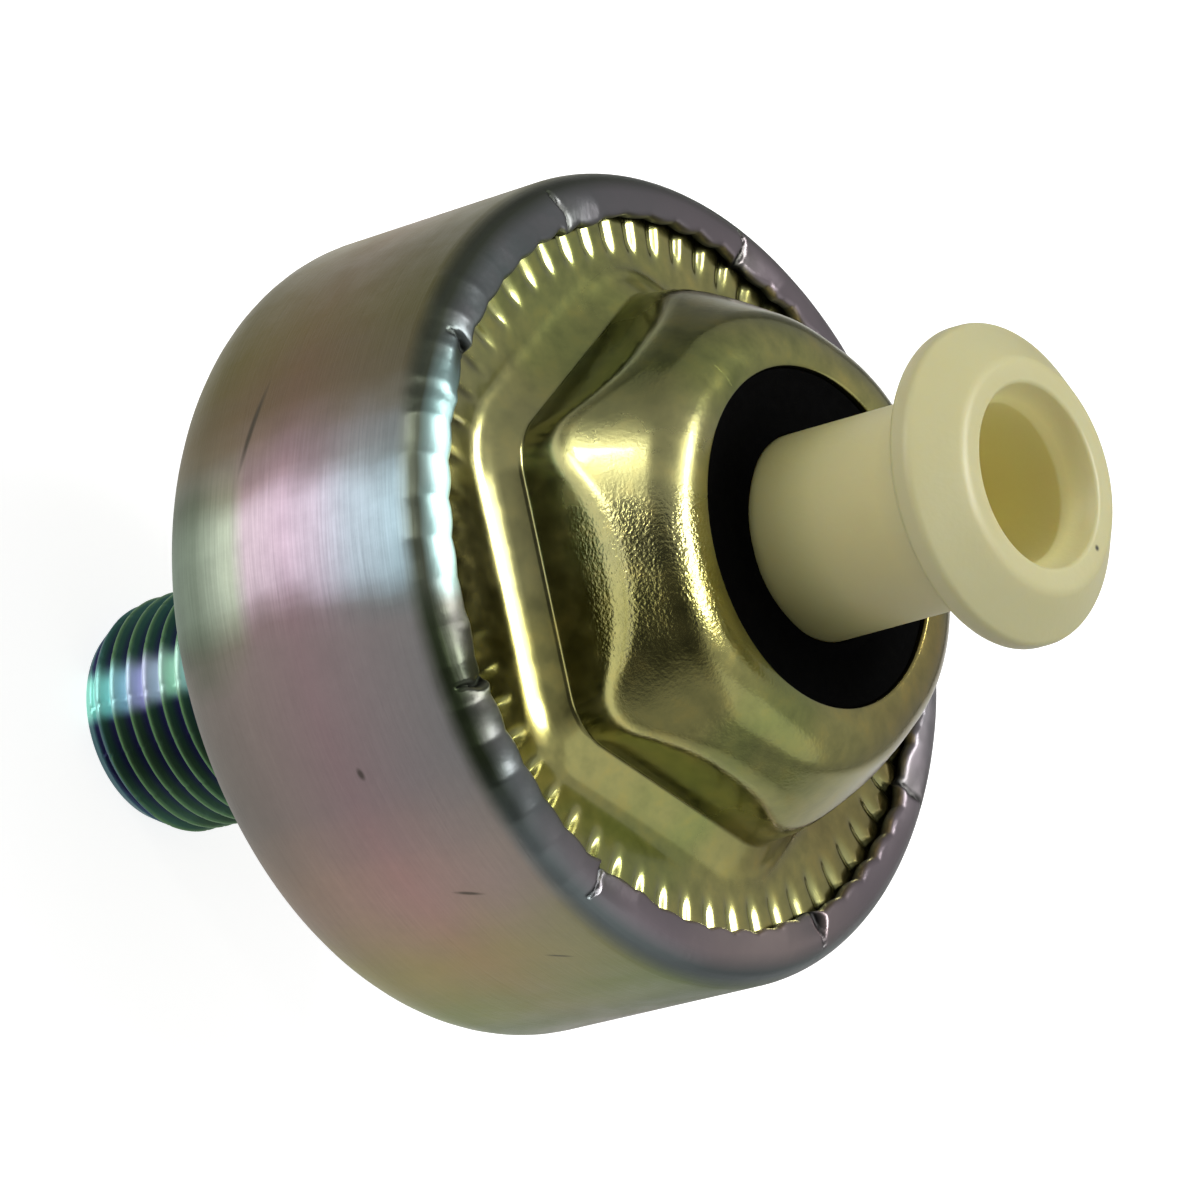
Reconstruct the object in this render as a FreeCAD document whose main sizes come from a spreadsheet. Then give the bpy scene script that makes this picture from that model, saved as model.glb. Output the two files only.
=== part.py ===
import FreeCAD, Part

import math
import os
import re

import Sketcher

# Engine knock sensor: a steel cup with a tapered mounting stud, closed by a drawn
# hexagonal cover that the cup's rolled lip holds, and a moulded connector post.
# Frame: origin in the middle of the cup's underside, +Z along the axis to the post,
# +X square to one flat of the hexagon. Millimetres and degrees.

doc = FreeCAD.newDocument("KnockSensor")
sheet = doc.addObject("Spreadsheet::Sheet", "Sizes")

SIZES = {
    # cup
    "cup_radius": 17.12,
    "cup_taper": 0.25,
    "cup_height": 15.6,
    "cup_wall": 1.15,
    "floor_thickness": 4.2,
    "foot_round": 3.8,
    "lip_round": 1.76,
    "lip_thickness": 0.8,
    "lip_reach": 0.97,
    "lip_edge_round": 0.3,
    "shoulder_width": 2.57,
    "pedestal_width": 2.0,
    "well_depth": 1.4,
    # stakes that lock the lip
    "stake_count": 8,
    "stake_angle": 23.5,
    "stake_width": 2.3,
    "stake_length": 1.3,
    "stake_depth": 0.3,
    # tapered stud
    "thread_length": 14.03,
    "thread_end_radius": 4.99,
    "thread_taper": 0.03125,
    "thread_depth": 0.78,
    "thread_lead_in": 1.35,
    # drawn cover
    "sheet_thickness": 1.2,
    "cover_height": 22.37,
    "half_flats": 10.31,
    "corner_round": 2.8,
    "ledge_width": 1.59,
    "ledge_corner_round": 4.0,
    "ledge_rise": 1.1,
    "dome_width": 1.47,
    "dome_angle": 62.0,
    "dome_round": 1.6,
    "shoulder_round": 3.0,
    "opening_land": 1.74,
    "dish_depth": 0.2,
    "knurl_count": 60,
    "knurl_length": 2.62,
    "knurl_width": 0.5,
    "knurl_depth": 0.25,
    # connector post
    "post_base_thickness": 3.0,
    "post_hub_radius": 6.2,
    "post_hub_rise": 1.4,
    "stem_radius": 4.33,
    "head_radius": 6.66,
    "head_under": 30.2,
    "head_rim_low": 31.0,
    "head_rim_high": 31.9,
    "head_edge_round": 0.35,
    "post_height": 33.45,
    "head_front_radius": 4.8,
    "head_front_round": 0.7,
    "mouth_radius": 3.84,
    "mouth_round": 0.2,
    "socket_radius": 3.3,
    "socket_lead_in": 1.5,
    "socket_floor": 25.0,
    # seals
    "seal_section": 1.7,
    "seal_side_gap": 0.06,
    "potting_drop": 0.25,
    # sensing pieces
    "plate_thickness": 0.8,
    "piezo_radius": 8.0,
    "piezo_thickness": 0.9,
    "spacer_wall": 1.45,
    "pin_radius": 0.9,
    "pin_shank_radius": 1.1,
    "pin_tip": 29.0,
    "pin_tip_chamfer": 0.35,
    "pin_flange_radius": 3.4,
    "pin_flange_thickness": 0.6,
    "spring_radius": 1.6,
    "spring_wire_radius": 0.22,
    "spring_turns": 2.5,
    # load resistor and its leads
    "resistor_radius": 0.9,
    "resistor_waist": 0.72,
    "resistor_cap": 0.8,
    "resistor_step": 0.2,
    "resistor_end_round": 0.25,
    "resistor_length": 3.6,
    "resistor_clearance": 2.43,
    "lead_radius": 0.25,
    "lead_bend": 0.8,
    "live_lead_reach": 4.0,
    "live_joint_forward": 2.3,
    "live_joint_side": 1.2,
    "live_joint_radius": 0.7,
    "ground_joint_radius": 0.85,
    # clearances between pieces that seat in each other
    "fit_gap": 0.02,
    "loose_gap": 0.05,
}

for row, (name, size) in enumerate(SIZES.items(), 1):
    sheet.set("A%d" % row, name)
    sheet.set("B%d" % row, str(size))
    sheet.setAlias("B%d" % row, name)
doc.recompute()

# Sizes that follow from the driving ones.
BORE = "(cup_radius - cup_wall)"
LIP_EDGE = "(cup_radius - cup_wall - lip_reach)"
FLANGE_TOP = "(cup_height - lip_thickness)"
FLANGE_LOW = "(cup_height - lip_thickness - sheet_thickness)"
FLANGE_RADIUS = "(cup_radius - cup_wall - loose_gap)"
SHOULDER = "(cup_height - lip_thickness - sheet_thickness - post_base_thickness)"
CHAMBER = "(cup_radius - cup_wall - shoulder_width)"
PEDESTAL = "(floor_thickness + well_depth)"
PLATE_TOP = "(floor_thickness + well_depth + plate_thickness)"
PIEZO_TOP = "(floor_thickness + well_depth + plate_thickness + piezo_thickness)"
LEDGE_FLATS = "(half_flats + ledge_width)"
DOME_FLAT = "(half_flats - dome_width)"
OPENING = "(half_flats - dome_width - opening_land)"
SPACER_INNER = "(%s - fit_gap - spacer_wall)" % CHAMBER
PIN_FLANGE_LOW = "(%s - pin_flange_thickness)" % SHOULDER
SEAL_MIDDLE = "(%s + post_base_thickness / 2)" % SHOULDER
GROOVE_HALF = "(seal_section / 2 + seal_side_gap)"
GROOVE_FLOOR = "(%s - seal_section - 2 * fit_gap)" % BORE
LEAD_LEVEL = "(%s - fit_gap - resistor_radius)" % SHOULDER
HUB_TOP = "(%s + post_hub_rise)" % FLANGE_LOW
LEAD_LINE = "(%s - resistor_radius - resistor_clearance)" % SPACER_INNER
GROUND_WALL = "sqrt(%s ^ 2 - %s ^ 2)" % (SPACER_INNER, LEAD_LINE)


def value(expression):
    """The number that an expression in the names of the sizes has now."""
    return float(sheet.evalExpression(expression))


def bound(expression):
    """The same expression as another object of the document reads it."""
    return re.sub(r"[a-z_]+", lambda m: "Sizes." + m[0] if m[0] in SIZES else m[0], expression)


def hold_size(sketch, constraint, expression):
    """Add a constraint to a sketch and tie its size to an expression."""
    index = sketch.addConstraint(constraint)
    sketch.setExpression("Constraints[%d]" % index, bound(expression))


def place_point(sketch, geometry, end, x, y):
    """Hold one point of a sketch at x, y, both expressions."""
    for kind, axis, expression in (("DistanceX", -2, x), ("DistanceY", -1, y)):
        if expression == "0":
            sketch.addConstraint(Sketcher.Constraint("PointOnObject", geometry, end, axis))
            continue
        size = value(expression)
        hold_size(sketch, Sketcher.Constraint(kind, -1, 1, geometry, end, size), expression)


def corner_arc(spot, before, after, radius):
    """The arc that rounds a corner, how far it reaches along both runs, and whether it follows
    the outline's own direction. before and after are unit vectors along the runs."""
    half = math.acos(max(-1.0, min(1.0, before.dot(after)))) / 2
    reach = radius / math.tan(half)
    centre = spot + (before + after).normalize() * (radius / math.sin(half))
    ends = [spot + before * reach, spot + after * reach]
    forward = before.cross(after).z < 0
    if not forward:
        ends.reverse()
    angles = [math.atan2(end.y - centre.y, end.x - centre.x) for end in ends]
    circle = Part.Circle(centre, FreeCAD.Vector(0, 0, 1), radius)
    return Part.ArcOfCircle(circle, angles[0], angles[1]), reach, forward


def draw_runs(sketch, corners, closed=True):
    """Straight runs from corner to corner. A corner is (x, y) or (x, y, radius), as expressions;
    one with a radius is an arc tangent to both of its runs."""
    spots = [FreeCAD.Vector(value(corner[0]), value(corner[1]), 0) for corner in corners]
    count = len(corners)
    arcs = {}
    for i, corner in enumerate(corners):
        if len(corner) > 2:
            before = (spots[i - 1] - spots[i]).normalize()
            after = (spots[(i + 1) % count] - spots[i]).normalize()
            arcs[i] = corner_arc(spots[i], before, after, value(corner[2]))
    reach = [arcs[i][1] if i in arcs else 0.0 for i in range(count)]
    runs = []
    for i in range(count if closed else count - 1):
        j = (i + 1) % count
        along = (spots[j] - spots[i]).normalize()
        run = Part.LineSegment(spots[i] + along * reach[i], spots[j] - along * reach[j])
        runs.append(sketch.addGeometry(run, False))
    if not closed:
        place_point(sketch, runs[0], 1, corners[0][0], corners[0][1])
        place_point(sketch, runs[-1], 2, corners[-1][0], corners[-1][1])
    for i in range(count) if closed else range(1, count - 1):
        before = runs[i - 1]
        after = runs[i]
        if i not in arcs:
            sketch.addConstraint(Sketcher.Constraint("Coincident", before, 2, after, 1))
            place_point(sketch, after, 1, corners[i][0], corners[i][1])
            continue
        bend = sketch.addGeometry(arcs[i][0], False)
        first, last = (1, 2) if arcs[i][2] else (2, 1)
        sketch.addConstraint(Sketcher.Constraint("Tangent", before, 2, bend, first))
        sketch.addConstraint(Sketcher.Constraint("Tangent", bend, last, after, 1))
        radius = value(corners[i][2])
        hold_size(sketch, Sketcher.Constraint("Radius", bend, radius), corners[i][2])
        tip = sketch.addGeometry(Part.Point(spots[i]), True)
        sketch.addConstraint(Sketcher.Constraint("PointOnObject", tip, 1, before))
        sketch.addConstraint(Sketcher.Constraint("PointOnObject", tip, 1, after))
        place_point(sketch, tip, 1, corners[i][0], corners[i][1])


def draw_circle(sketch, x, y, radius):
    """A circle of a radius about x, y, all expressions."""
    centre = FreeCAD.Vector(value(x), value(y), 0)
    circle = Part.Circle(centre, FreeCAD.Vector(0, 0, 1), value(radius))
    ring = sketch.addGeometry(circle, False)
    hold_size(sketch, Sketcher.Constraint("Radius", ring, value(radius)), radius)
    if x == y == "0":
        sketch.addConstraint(Sketcher.Constraint("Coincident", ring, 3, -1, 1))
    else:
        place_point(sketch, ring, 3, x, y)


def new_body(label):
    body = doc.addObject("PartDesign::Body", label)
    body.Label = label
    return body


def datum(body, role):
    """One of the body's own origin planes or axes."""
    return [feature for feature in body.Origin.OriginFeatures if feature.Role == role][0]


def new_sketch(body, name, role, offset="0"):
    """A sketch on one of the body's own origin planes, moved off it along its normal."""
    sketch = body.newObject("Sketcher::SketchObject", name)
    sketch.AttachmentSupport = [(datum(body, role), "")]
    sketch.MapMode = "FlatFace"
    sketch.setExpression("AttachmentOffset.Base.z", bound(offset))
    return sketch


def turn(body, sketch):
    """Turn a sketch of radius and height about Z."""
    turning = body.newObject("PartDesign::Revolution", body.Name + "_turning")
    turning.Profile = sketch
    turning.ReferenceAxis = (sketch, ["V_Axis"])
    turning.Angle = 360


def turned_body(label, corners):
    body = new_body(label)
    sketch = new_sketch(body, label + "_outline", "XZ_Plane")
    draw_runs(sketch, corners)
    turn(body, sketch)
    return body


def disc_body(label, radius, low, thickness):
    """A flat round disc, from its underside up."""
    body = new_body(label)
    sketch = new_sketch(body, label + "_outline", "XY_Plane", low)
    draw_circle(sketch, "0", "0", radius)
    pad = body.newObject("PartDesign::Pad", label + "_pad")
    pad.Profile = sketch
    pad.setExpression("Length", bound(thickness))
    return body


def cut_round(body, sketch, depth, count):
    """Cut a pocket from a sketch and repeat it evenly round Z."""
    doc.recompute()
    before = body.Shape.Volume
    pocket = body.newObject("PartDesign::Pocket", sketch.Name + "_pocket")
    pocket.Profile = sketch
    pocket.setExpression("Length", bound(depth))
    pattern = body.newObject("PartDesign::PolarPattern", sketch.Name + "_round")
    pattern.Originals = [pocket]
    pattern.Axis = (datum(body, "Z_Axis"), [""])
    pattern.Angle = 360
    pattern.setExpression("Occurrences", bound(count))
    body.Tip = pattern
    doc.recompute()
    if body.Shape.Volume >= before:
        raise RuntimeError(sketch.Name + " cut nothing")


def threaded_housing():
    """Cup and stud are one cold-formed piece. The wall's rim is rolled in over the cover and
    staked at eight places. The stud is the thread's tapered outer form."""
    body = turned_body("threaded_housing", [
        ("0", "-thread_length"),
        ("thread_end_radius - thread_depth", "-thread_length"),
        ("thread_end_radius + thread_taper * thread_lead_in", "thread_lead_in - thread_length"),
        ("thread_end_radius + thread_taper * thread_length", "0"),
        ("cup_radius - cup_taper", "0", "foot_round"),
        ("cup_radius", "cup_height", "lip_round"),
        (LIP_EDGE, "cup_height", "lip_edge_round"),
        (LIP_EDGE, FLANGE_TOP),
        (BORE, FLANGE_TOP),
        (BORE, SHOULDER),
        (CHAMBER, SHOULDER),
        (CHAMBER, PEDESTAL),
        (CHAMBER + " - pedestal_width", PEDESTAL),
        (CHAMBER + " - pedestal_width", "floor_thickness"),
        ("0", "floor_thickness"),
    ])
    mark = new_sketch(body, "stake", "XY_Plane", "cup_height")
    mark.setExpression("AttachmentOffset.Rotation.Angle", bound("stake_angle"))
    draw_runs(mark, [
        (LIP_EDGE + " - loose_gap", "-stake_width / 2"),
        (LIP_EDGE + " + stake_length", "-stake_width / 2", "stake_length / 4"),
        (LIP_EDGE + " + stake_length", "stake_width / 2", "stake_length / 4"),
        (LIP_EDGE + " - loose_gap", "stake_width / 2"),
    ])
    cut_round(body, mark, "stake_depth", "stake_count")


def rounded_hexagon(name, half_flats, corner, height):
    """A sketch of a hexagon with rounded corners at a height, two of its flats square to X."""
    sketch = doc.addObject("Sketcher::SketchObject", name)
    reach = "(%s) / cos(30)" % half_flats
    corners = []
    for angle in range(30, 390, 60):
        across = "0" if angle in (90, 270) else "%s * cos(%d)" % (reach, angle)
        corners.append((across, "%s * sin(%d)" % (reach, angle), corner))
    draw_runs(sketch, corners)
    sketch.setExpression("Placement.Base.z", bound(height))
    return sketch


def turned_form(name, corners):
    """A solid turned about Z, for use in a boolean."""
    sketch = doc.addObject("Sketcher::SketchObject", name + "_outline")
    sketch.Placement.Rotation = FreeCAD.Rotation(FreeCAD.Vector(1, 0, 0), 90)
    draw_runs(sketch, corners)
    form = doc.addObject("Part::Revolution", name)
    form.Source = sketch
    form.Axis = FreeCAD.Vector(0, 0, 1)
    form.Angle = 360
    form.Solid = True
    return form


def round_shoulders(name, crown, walls, radius):
    """Round the edges where the sloped shoulders of a crown meet its upright walls."""
    body = new_body(name)
    body.BaseFeature = crown
    doc.recompute()
    low = crown.Shape.BoundBox.ZMin + value("loose_gap")
    reach = value("%s - fit_gap" % walls)
    edges = []
    for number, edge in enumerate(body.Tip.Shape.Edges, 1):
        ends = [vertex.Point for vertex in edge.Vertexes]
        on_walls = all(math.hypot(end.x, end.y) > reach for end in ends)
        if on_walls and all(end.z > low for end in ends):
            edges.append("Edge%d" % number)
    fillet = body.newObject("PartDesign::Fillet", name + "_fillet")
    fillet.Base = (body.BaseFeature, edges)
    fillet.setExpression("Radius", bound(radius))
    return body


def drawn_form(name, inset):
    """The cover's drawn shape, set in from its outside by inset: a hexagonal prism whose
    shoulders are trimmed by a rounded cone, slightly dished round the opening, on a sloped
    hexagonal ledge."""
    top = "(cover_height - %s)" % inset
    flat = "(%s - %s * tan(dome_angle / 2))" % (DOME_FLAT, inset)
    prism = doc.addObject("Part::Extrusion", name + "_prism")
    prism.Base = rounded_hexagon(
        name + "_walls", "half_flats - %s" % inset, "corner_round - %s" % inset, FLANGE_LOW)
    prism.Dir = FreeCAD.Vector(0, 0, 1)
    prism.Solid = True
    prism.setExpression("LengthFwd", bound("%s - %s" % (top, FLANGE_LOW)))
    cone = turned_form(name + "_cone", [
        ("0", FLANGE_LOW),
        ("%s + (%s - %s) / tan(dome_angle)" % (flat, top, FLANGE_LOW), FLANGE_LOW),
        (flat, top, "dome_round - %s" % inset),
        (OPENING, top + " - dish_depth"),
        ("0", top + " - dish_depth"),
    ])
    crown = doc.addObject("Part::MultiCommon", name + "_crown")
    crown.Shapes = [prism, cone]
    rounded = round_shoulders(
        name + "_rounded", crown, "half_flats - %s" % inset, "shoulder_round - %s" % inset)
    foot = rounded_hexagon(
        name + "_foot", "%s - %s" % (LEDGE_FLATS, inset), "ledge_corner_round - %s" % inset,
        "%s - %s" % (FLANGE_TOP, inset))
    brow = rounded_hexagon(
        name + "_brow", "half_flats - %s" % inset, "corner_round - %s" % inset,
        "%s + ledge_rise - %s" % (FLANGE_TOP, inset))
    ledge = doc.addObject("Part::Loft", name + "_ledge")
    ledge.Sections = [foot, brow]
    ledge.Solid = True
    ledge.Ruled = True
    form = doc.addObject("Part::MultiFuse", name)
    form.Shapes = [rounded, ledge]
    return form


def cylinder_form(name, radius, low, height):
    cylinder = doc.addObject("Part::Cylinder", name)
    cylinder.setExpression("Radius", bound(radius))
    cylinder.setExpression("Height", bound(height))
    cylinder.setExpression("Placement.Base.z", bound(low))
    return cylinder


def hex_cover():
    """One sheet drawn up to a hexagon for the wrench and pierced for the post. Its round flange
    lies under the cup's lip and is knurled, so that the lip grips it."""
    outside = doc.addObject("Part::MultiFuse", "cover_outside")
    outside.Shapes = [
        cylinder_form("cover_flange", FLANGE_RADIUS, FLANGE_LOW, "sheet_thickness"),
        drawn_form("cover_outer", "0"),
    ]
    inside = doc.addObject("Part::MultiFuse", "cover_inside")
    inside.Shapes = [
        cylinder_form("cover_opening", OPENING, FLANGE_LOW, "cover_height"),
        drawn_form("cover_inner", "sheet_thickness"),
    ]
    drawn = doc.addObject("Part::Cut", "drawn_sheet")
    drawn.Base = outside
    drawn.Tool = inside
    doc.recompute()
    body = new_body("hex_cover")
    body.BaseFeature = drawn
    groove = new_sketch(body, "knurl", "YZ_Plane", FLANGE_RADIUS)
    draw_runs(groove, [
        ("-knurl_width / 2", FLANGE_TOP),
        ("0", FLANGE_TOP + " - knurl_depth"),
        ("knurl_width / 2", FLANGE_TOP),
    ])
    cut_round(body, groove, "knurl_length", "knurl_count")


def terminal_post():
    """The moulded insulator: a base that the cover clamps on the cup's shoulder, a stem, and a
    mushroom head that the plug snaps over, round the socket of the pin."""
    pin_hole = "pin_shank_radius + fit_gap"
    turned_body("terminal_post", [
        (pin_hole, SHOULDER),
        (FLANGE_RADIUS, SHOULDER),
        (FLANGE_RADIUS, "%s - %s" % (SEAL_MIDDLE, GROOVE_HALF)),
        (GROOVE_FLOOR, "%s - %s" % (SEAL_MIDDLE, GROOVE_HALF)),
        (GROOVE_FLOOR, "%s + %s" % (SEAL_MIDDLE, GROOVE_HALF)),
        (FLANGE_RADIUS, "%s + %s" % (SEAL_MIDDLE, GROOVE_HALF)),
        (FLANGE_RADIUS, FLANGE_LOW),
        ("post_hub_radius", FLANGE_LOW),
        ("post_hub_radius", HUB_TOP),
        ("stem_radius", HUB_TOP),
        ("stem_radius", "head_under"),
        ("head_radius", "head_rim_low", "head_edge_round"),
        ("head_radius", "head_rim_high", "head_edge_round"),
        ("head_front_radius", "post_height", "head_front_round"),
        ("mouth_radius", "post_height", "mouth_round"),
        ("socket_radius", "post_height - socket_lead_in"),
        ("socket_radius", "socket_floor"),
        (pin_hole, "socket_floor"),
    ])


def potting_seal():
    """The black casting that fills the cover round the stem, up to just under the opening."""
    inset = "(sheet_thickness + fit_gap)"
    top = "(cover_height - %s)" % inset
    flat = "(%s - %s * tan(dome_angle / 2))" % (DOME_FLAT, inset)
    wall = "(half_flats - %s)" % inset
    turned_body("potting_seal", [
        ("stem_radius + fit_gap", HUB_TOP + " + fit_gap"),
        ("stem_radius + fit_gap", "cover_height - dish_depth - potting_drop"),
        (OPENING + " - fit_gap", "cover_height - dish_depth - potting_drop"),
        (OPENING + " - fit_gap", top + " - dish_depth"),
        (flat, top, "dome_round - " + inset),
        (wall, "%s - (%s - %s) * tan(dome_angle)" % (top, wall, flat),
         "shoulder_round - " + inset),
        (wall, FLANGE_LOW + " + fit_gap"),
        ("post_hub_radius + fit_gap", FLANGE_LOW + " + fit_gap"),
        ("post_hub_radius + fit_gap", HUB_TOP + " + fit_gap"),
    ])


def cover_seal_ring():
    """The rubber ring in the groove of the post's base, against the cup's bore."""
    body = new_body("cover_seal_ring")
    sketch = new_sketch(body, "seal_section_outline", "XZ_Plane")
    draw_circle(sketch, BORE + " - seal_section / 2 - fit_gap", SEAL_MIDDLE, "seal_section / 2")
    turn(body, sketch)


def sensing_stack():
    """The plate that rings with the engine, its ceramic disc, and the ring that clamps the
    plate's edge down under the post's base."""
    disc_body("resonator_plate", CHAMBER + " - fit_gap", PEDESTAL, "plate_thickness")
    disc_body("piezo_disc", "piezo_radius", PLATE_TOP, "piezo_thickness")
    turned_body("spacer_ring", [
        (SPACER_INNER, PLATE_TOP),
        (CHAMBER + " - fit_gap", PLATE_TOP),
        (CHAMBER + " - fit_gap", SHOULDER),
        (SPACER_INNER, SHOULDER),
    ])


def terminal_pin():
    """The contact pin, stepped down where it stands free in the socket. Its flange closes the
    post from below and carries the spring."""
    turned_body("terminal_pin", [
        ("0", PIN_FLANGE_LOW),
        ("pin_flange_radius", PIN_FLANGE_LOW),
        ("pin_flange_radius", SHOULDER),
        ("pin_shank_radius", SHOULDER),
        ("pin_shank_radius", "socket_floor"),
        ("pin_radius", "socket_floor"),
        ("pin_radius", "pin_tip - pin_tip_chamfer"),
        ("pin_radius - pin_tip_chamfer", "pin_tip"),
        ("0", "pin_tip"),
    ])


def contact_spring():
    """A wire spring from the ceramic's upper face to the pin's flange."""
    start = "(%s + fit_gap + spring_wire_radius)" % PIEZO_TOP
    height = "(%s - fit_gap - spring_wire_radius - %s)" % (PIN_FLANGE_LOW, start)
    coil = doc.addObject("Part::Helix", "spring_coil")
    coil.setExpression("Radius", bound("spring_radius"))
    coil.setExpression("Height", bound(height))
    coil.setExpression("Pitch", bound(height + " / spring_turns"))
    coil.setExpression("Placement.Base.z", bound(start))
    section = doc.addObject("Part::Circle", "spring_section")
    section.Placement.Rotation = FreeCAD.Rotation(FreeCAD.Vector(1, 0, 0), 90)
    section.setExpression("Radius", bound("spring_wire_radius"))
    section.setExpression("Placement.Base.x", bound("spring_radius"))
    section.setExpression("Placement.Base.z", bound(start))
    spring = doc.addObject("Part::Sweep", "contact_spring")
    spring.Sections = [section]
    spring.Spine = (coil, ["Edge1"])
    spring.Solid = True
    spring.Frenet = True


def load_resistor():
    """The resistor across the ceramic, lying along X beside the spring."""
    half = "resistor_length / 2"
    body = turned_body("load_resistor", [
        ("0", "-" + half),
        ("resistor_radius", "-" + half, "resistor_end_round"),
        ("resistor_radius", "resistor_cap - " + half),
        ("resistor_waist", "resistor_cap + resistor_step - " + half),
        ("resistor_waist", half + " - resistor_cap - resistor_step"),
        ("resistor_radius", half + " - resistor_cap"),
        ("resistor_radius", half, "resistor_end_round"),
        ("0", half),
    ])
    body.Placement.Rotation = FreeCAD.Rotation(FreeCAD.Vector(0, 1, 0), 90)
    body.setExpression("Placement.Base.y", bound(LEAD_LINE))
    body.setExpression("Placement.Base.z", bound(LEAD_LEVEL))


def lead(label, start, route):
    """A round wire from one end of the resistor along a route of X and Y corners."""
    body = new_body(label)
    path = new_sketch(body, label + "_path", "XY_Plane", LEAD_LEVEL)
    draw_runs(path, route, closed=False)
    section = new_sketch(body, label + "_section", "YZ_Plane", start)
    draw_circle(section, LEAD_LINE, LEAD_LEVEL, "lead_radius")
    doc.recompute()
    pipe = body.newObject("PartDesign::AdditivePipe", label + "_pipe")
    pipe.Profile = section
    pipe.Spine = (path, ["Edge%d" % (i + 1) for i in range(len(path.Shape.Edges))])
    return body


def resistor_leads():
    """The live lead goes to the pin's flange, the ground lead to the spacer ring."""
    live_end = "-resistor_length / 2"
    ground_end = "resistor_length / 2"
    live = lead("resistor_live_lead", live_end, [
        (live_end, LEAD_LINE),
        ("-live_lead_reach", LEAD_LINE, "lead_bend"),
        ("-live_lead_reach", "live_joint_forward", "lead_bend"),
        ("live_joint_radius / 2 - live_joint_side", "live_joint_forward"),
    ])
    ground = lead("resistor_ground_lead", ground_end, [
        (ground_end, LEAD_LINE),
        ("(%s + %s) / 2" % (ground_end, GROUND_WALL), LEAD_LINE),
        (GROUND_WALL + " - 1.5 * lead_radius", LEAD_LINE),
    ])
    return live, ground


def solder_joints(live, ground):
    """A bead under the pin's flange and a bead on the wall of the spacer ring."""
    bead = doc.addObject("Part::Ellipsoid", "live_bead")
    bead.setExpression("Radius1", bound("live_joint_radius"))
    bead.setExpression("Radius2", bound("live_joint_radius"))
    bead.setExpression("Radius3", bound("live_joint_radius"))
    bead.Angle1 = -90
    bead.Angle2 = 0
    bead.setExpression("Placement.Base.x", bound("-live_joint_side"))
    bead.setExpression("Placement.Base.y", bound("live_joint_forward"))
    bead.setExpression("Placement.Base.z", bound(PIN_FLANGE_LOW))
    live_joint = doc.addObject("Part::Cut", "live_solder_joint")
    live_joint.Base = bead
    live_joint.Tool = live
    ball = doc.addObject("Part::Sphere", "ground_bead")
    ball.setExpression("Radius", bound("ground_joint_radius"))
    ball.setExpression("Placement.Base.x", bound(GROUND_WALL + " - lead_radius"))
    ball.setExpression("Placement.Base.y", bound(LEAD_LINE))
    ball.setExpression("Placement.Base.z", bound(LEAD_LEVEL))
    inner = cylinder_form("spacer_room", SPACER_INNER, PLATE_TOP, "post_base_thickness * 2")
    kept = doc.addObject("Part::MultiCommon", "ground_bead_in_ring")
    kept.Shapes = [ball, inner]
    ground_joint = doc.addObject("Part::Cut", "ground_solder_joint")
    ground_joint.Base = kept
    ground_joint.Tool = ground


PIECES = [
    "threaded_housing",
    "hex_cover",
    "terminal_post",
    "potting_seal",
    "cover_seal_ring",
    "terminal_pin",
    "contact_spring",
    "piezo_disc",
    "resonator_plate",
    "spacer_ring",
    "load_resistor",
    "resistor_live_lead",
    "resistor_ground_lead",
    "live_solder_joint",
    "ground_solder_joint",
]


def write_pieces():
    """Check the whole document, then write each piece as a STEP file named after it."""
    doc.recompute()
    for item in doc.Objects:
        if "Invalid" in item.State or "Error" in item.State:
            raise RuntimeError("%s is %s" % (item.Name, item.State))
    shapes = {name: doc.getObject(name).Shape for name in PIECES}
    for name, shape in shapes.items():
        if shape.isNull() or not shape.isValid() or len(shape.Solids) != 1:
            raise RuntimeError("%s is not one sound solid" % name)
    os.makedirs("parts", exist_ok=True)
    for name, shape in shapes.items():
        shape.exportStep("parts/%s.step" % name)
        print("%-22s %10.2f mm3" % (name, shape.Volume))


threaded_housing()
hex_cover()
terminal_post()
potting_seal()
cover_seal_ring()
sensing_stack()
terminal_pin()
contact_spring()
load_resistor()
solder_joints(*resistor_leads())
write_pieces()
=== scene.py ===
import math

import bpy
import numpy as np
from bpy.props import FloatProperty, FloatVectorProperty, IntProperty, PointerProperty
from mathutils import Matrix, Vector


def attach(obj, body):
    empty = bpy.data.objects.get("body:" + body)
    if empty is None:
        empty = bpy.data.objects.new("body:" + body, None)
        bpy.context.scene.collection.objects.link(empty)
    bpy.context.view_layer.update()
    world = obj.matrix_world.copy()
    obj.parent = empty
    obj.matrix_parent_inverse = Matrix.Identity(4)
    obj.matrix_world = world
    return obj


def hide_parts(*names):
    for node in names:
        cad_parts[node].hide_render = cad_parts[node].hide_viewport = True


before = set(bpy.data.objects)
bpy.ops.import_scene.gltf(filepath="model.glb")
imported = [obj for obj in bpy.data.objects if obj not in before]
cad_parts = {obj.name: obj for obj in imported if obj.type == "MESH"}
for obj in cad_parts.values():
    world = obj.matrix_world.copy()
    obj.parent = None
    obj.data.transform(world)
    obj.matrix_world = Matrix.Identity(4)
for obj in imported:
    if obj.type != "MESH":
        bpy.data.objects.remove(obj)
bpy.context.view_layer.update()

bl_info = {
    "name": "Engine knock sensor looks",
    "version": (1, 0, 0),
    "blender": (4, 5, 0),
    "location": "3D View > Sidebar > Sensor",
    "description": "Builds the visible pieces, finishes and studio of an engine knock sensor",
    "category": "Object",
}

MM = 0.001
TURN = 2 * math.pi
HEX_CORNER = math.radians(30)
# round of an edge that looks sharp
SHARP = 0.05 * MM
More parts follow.
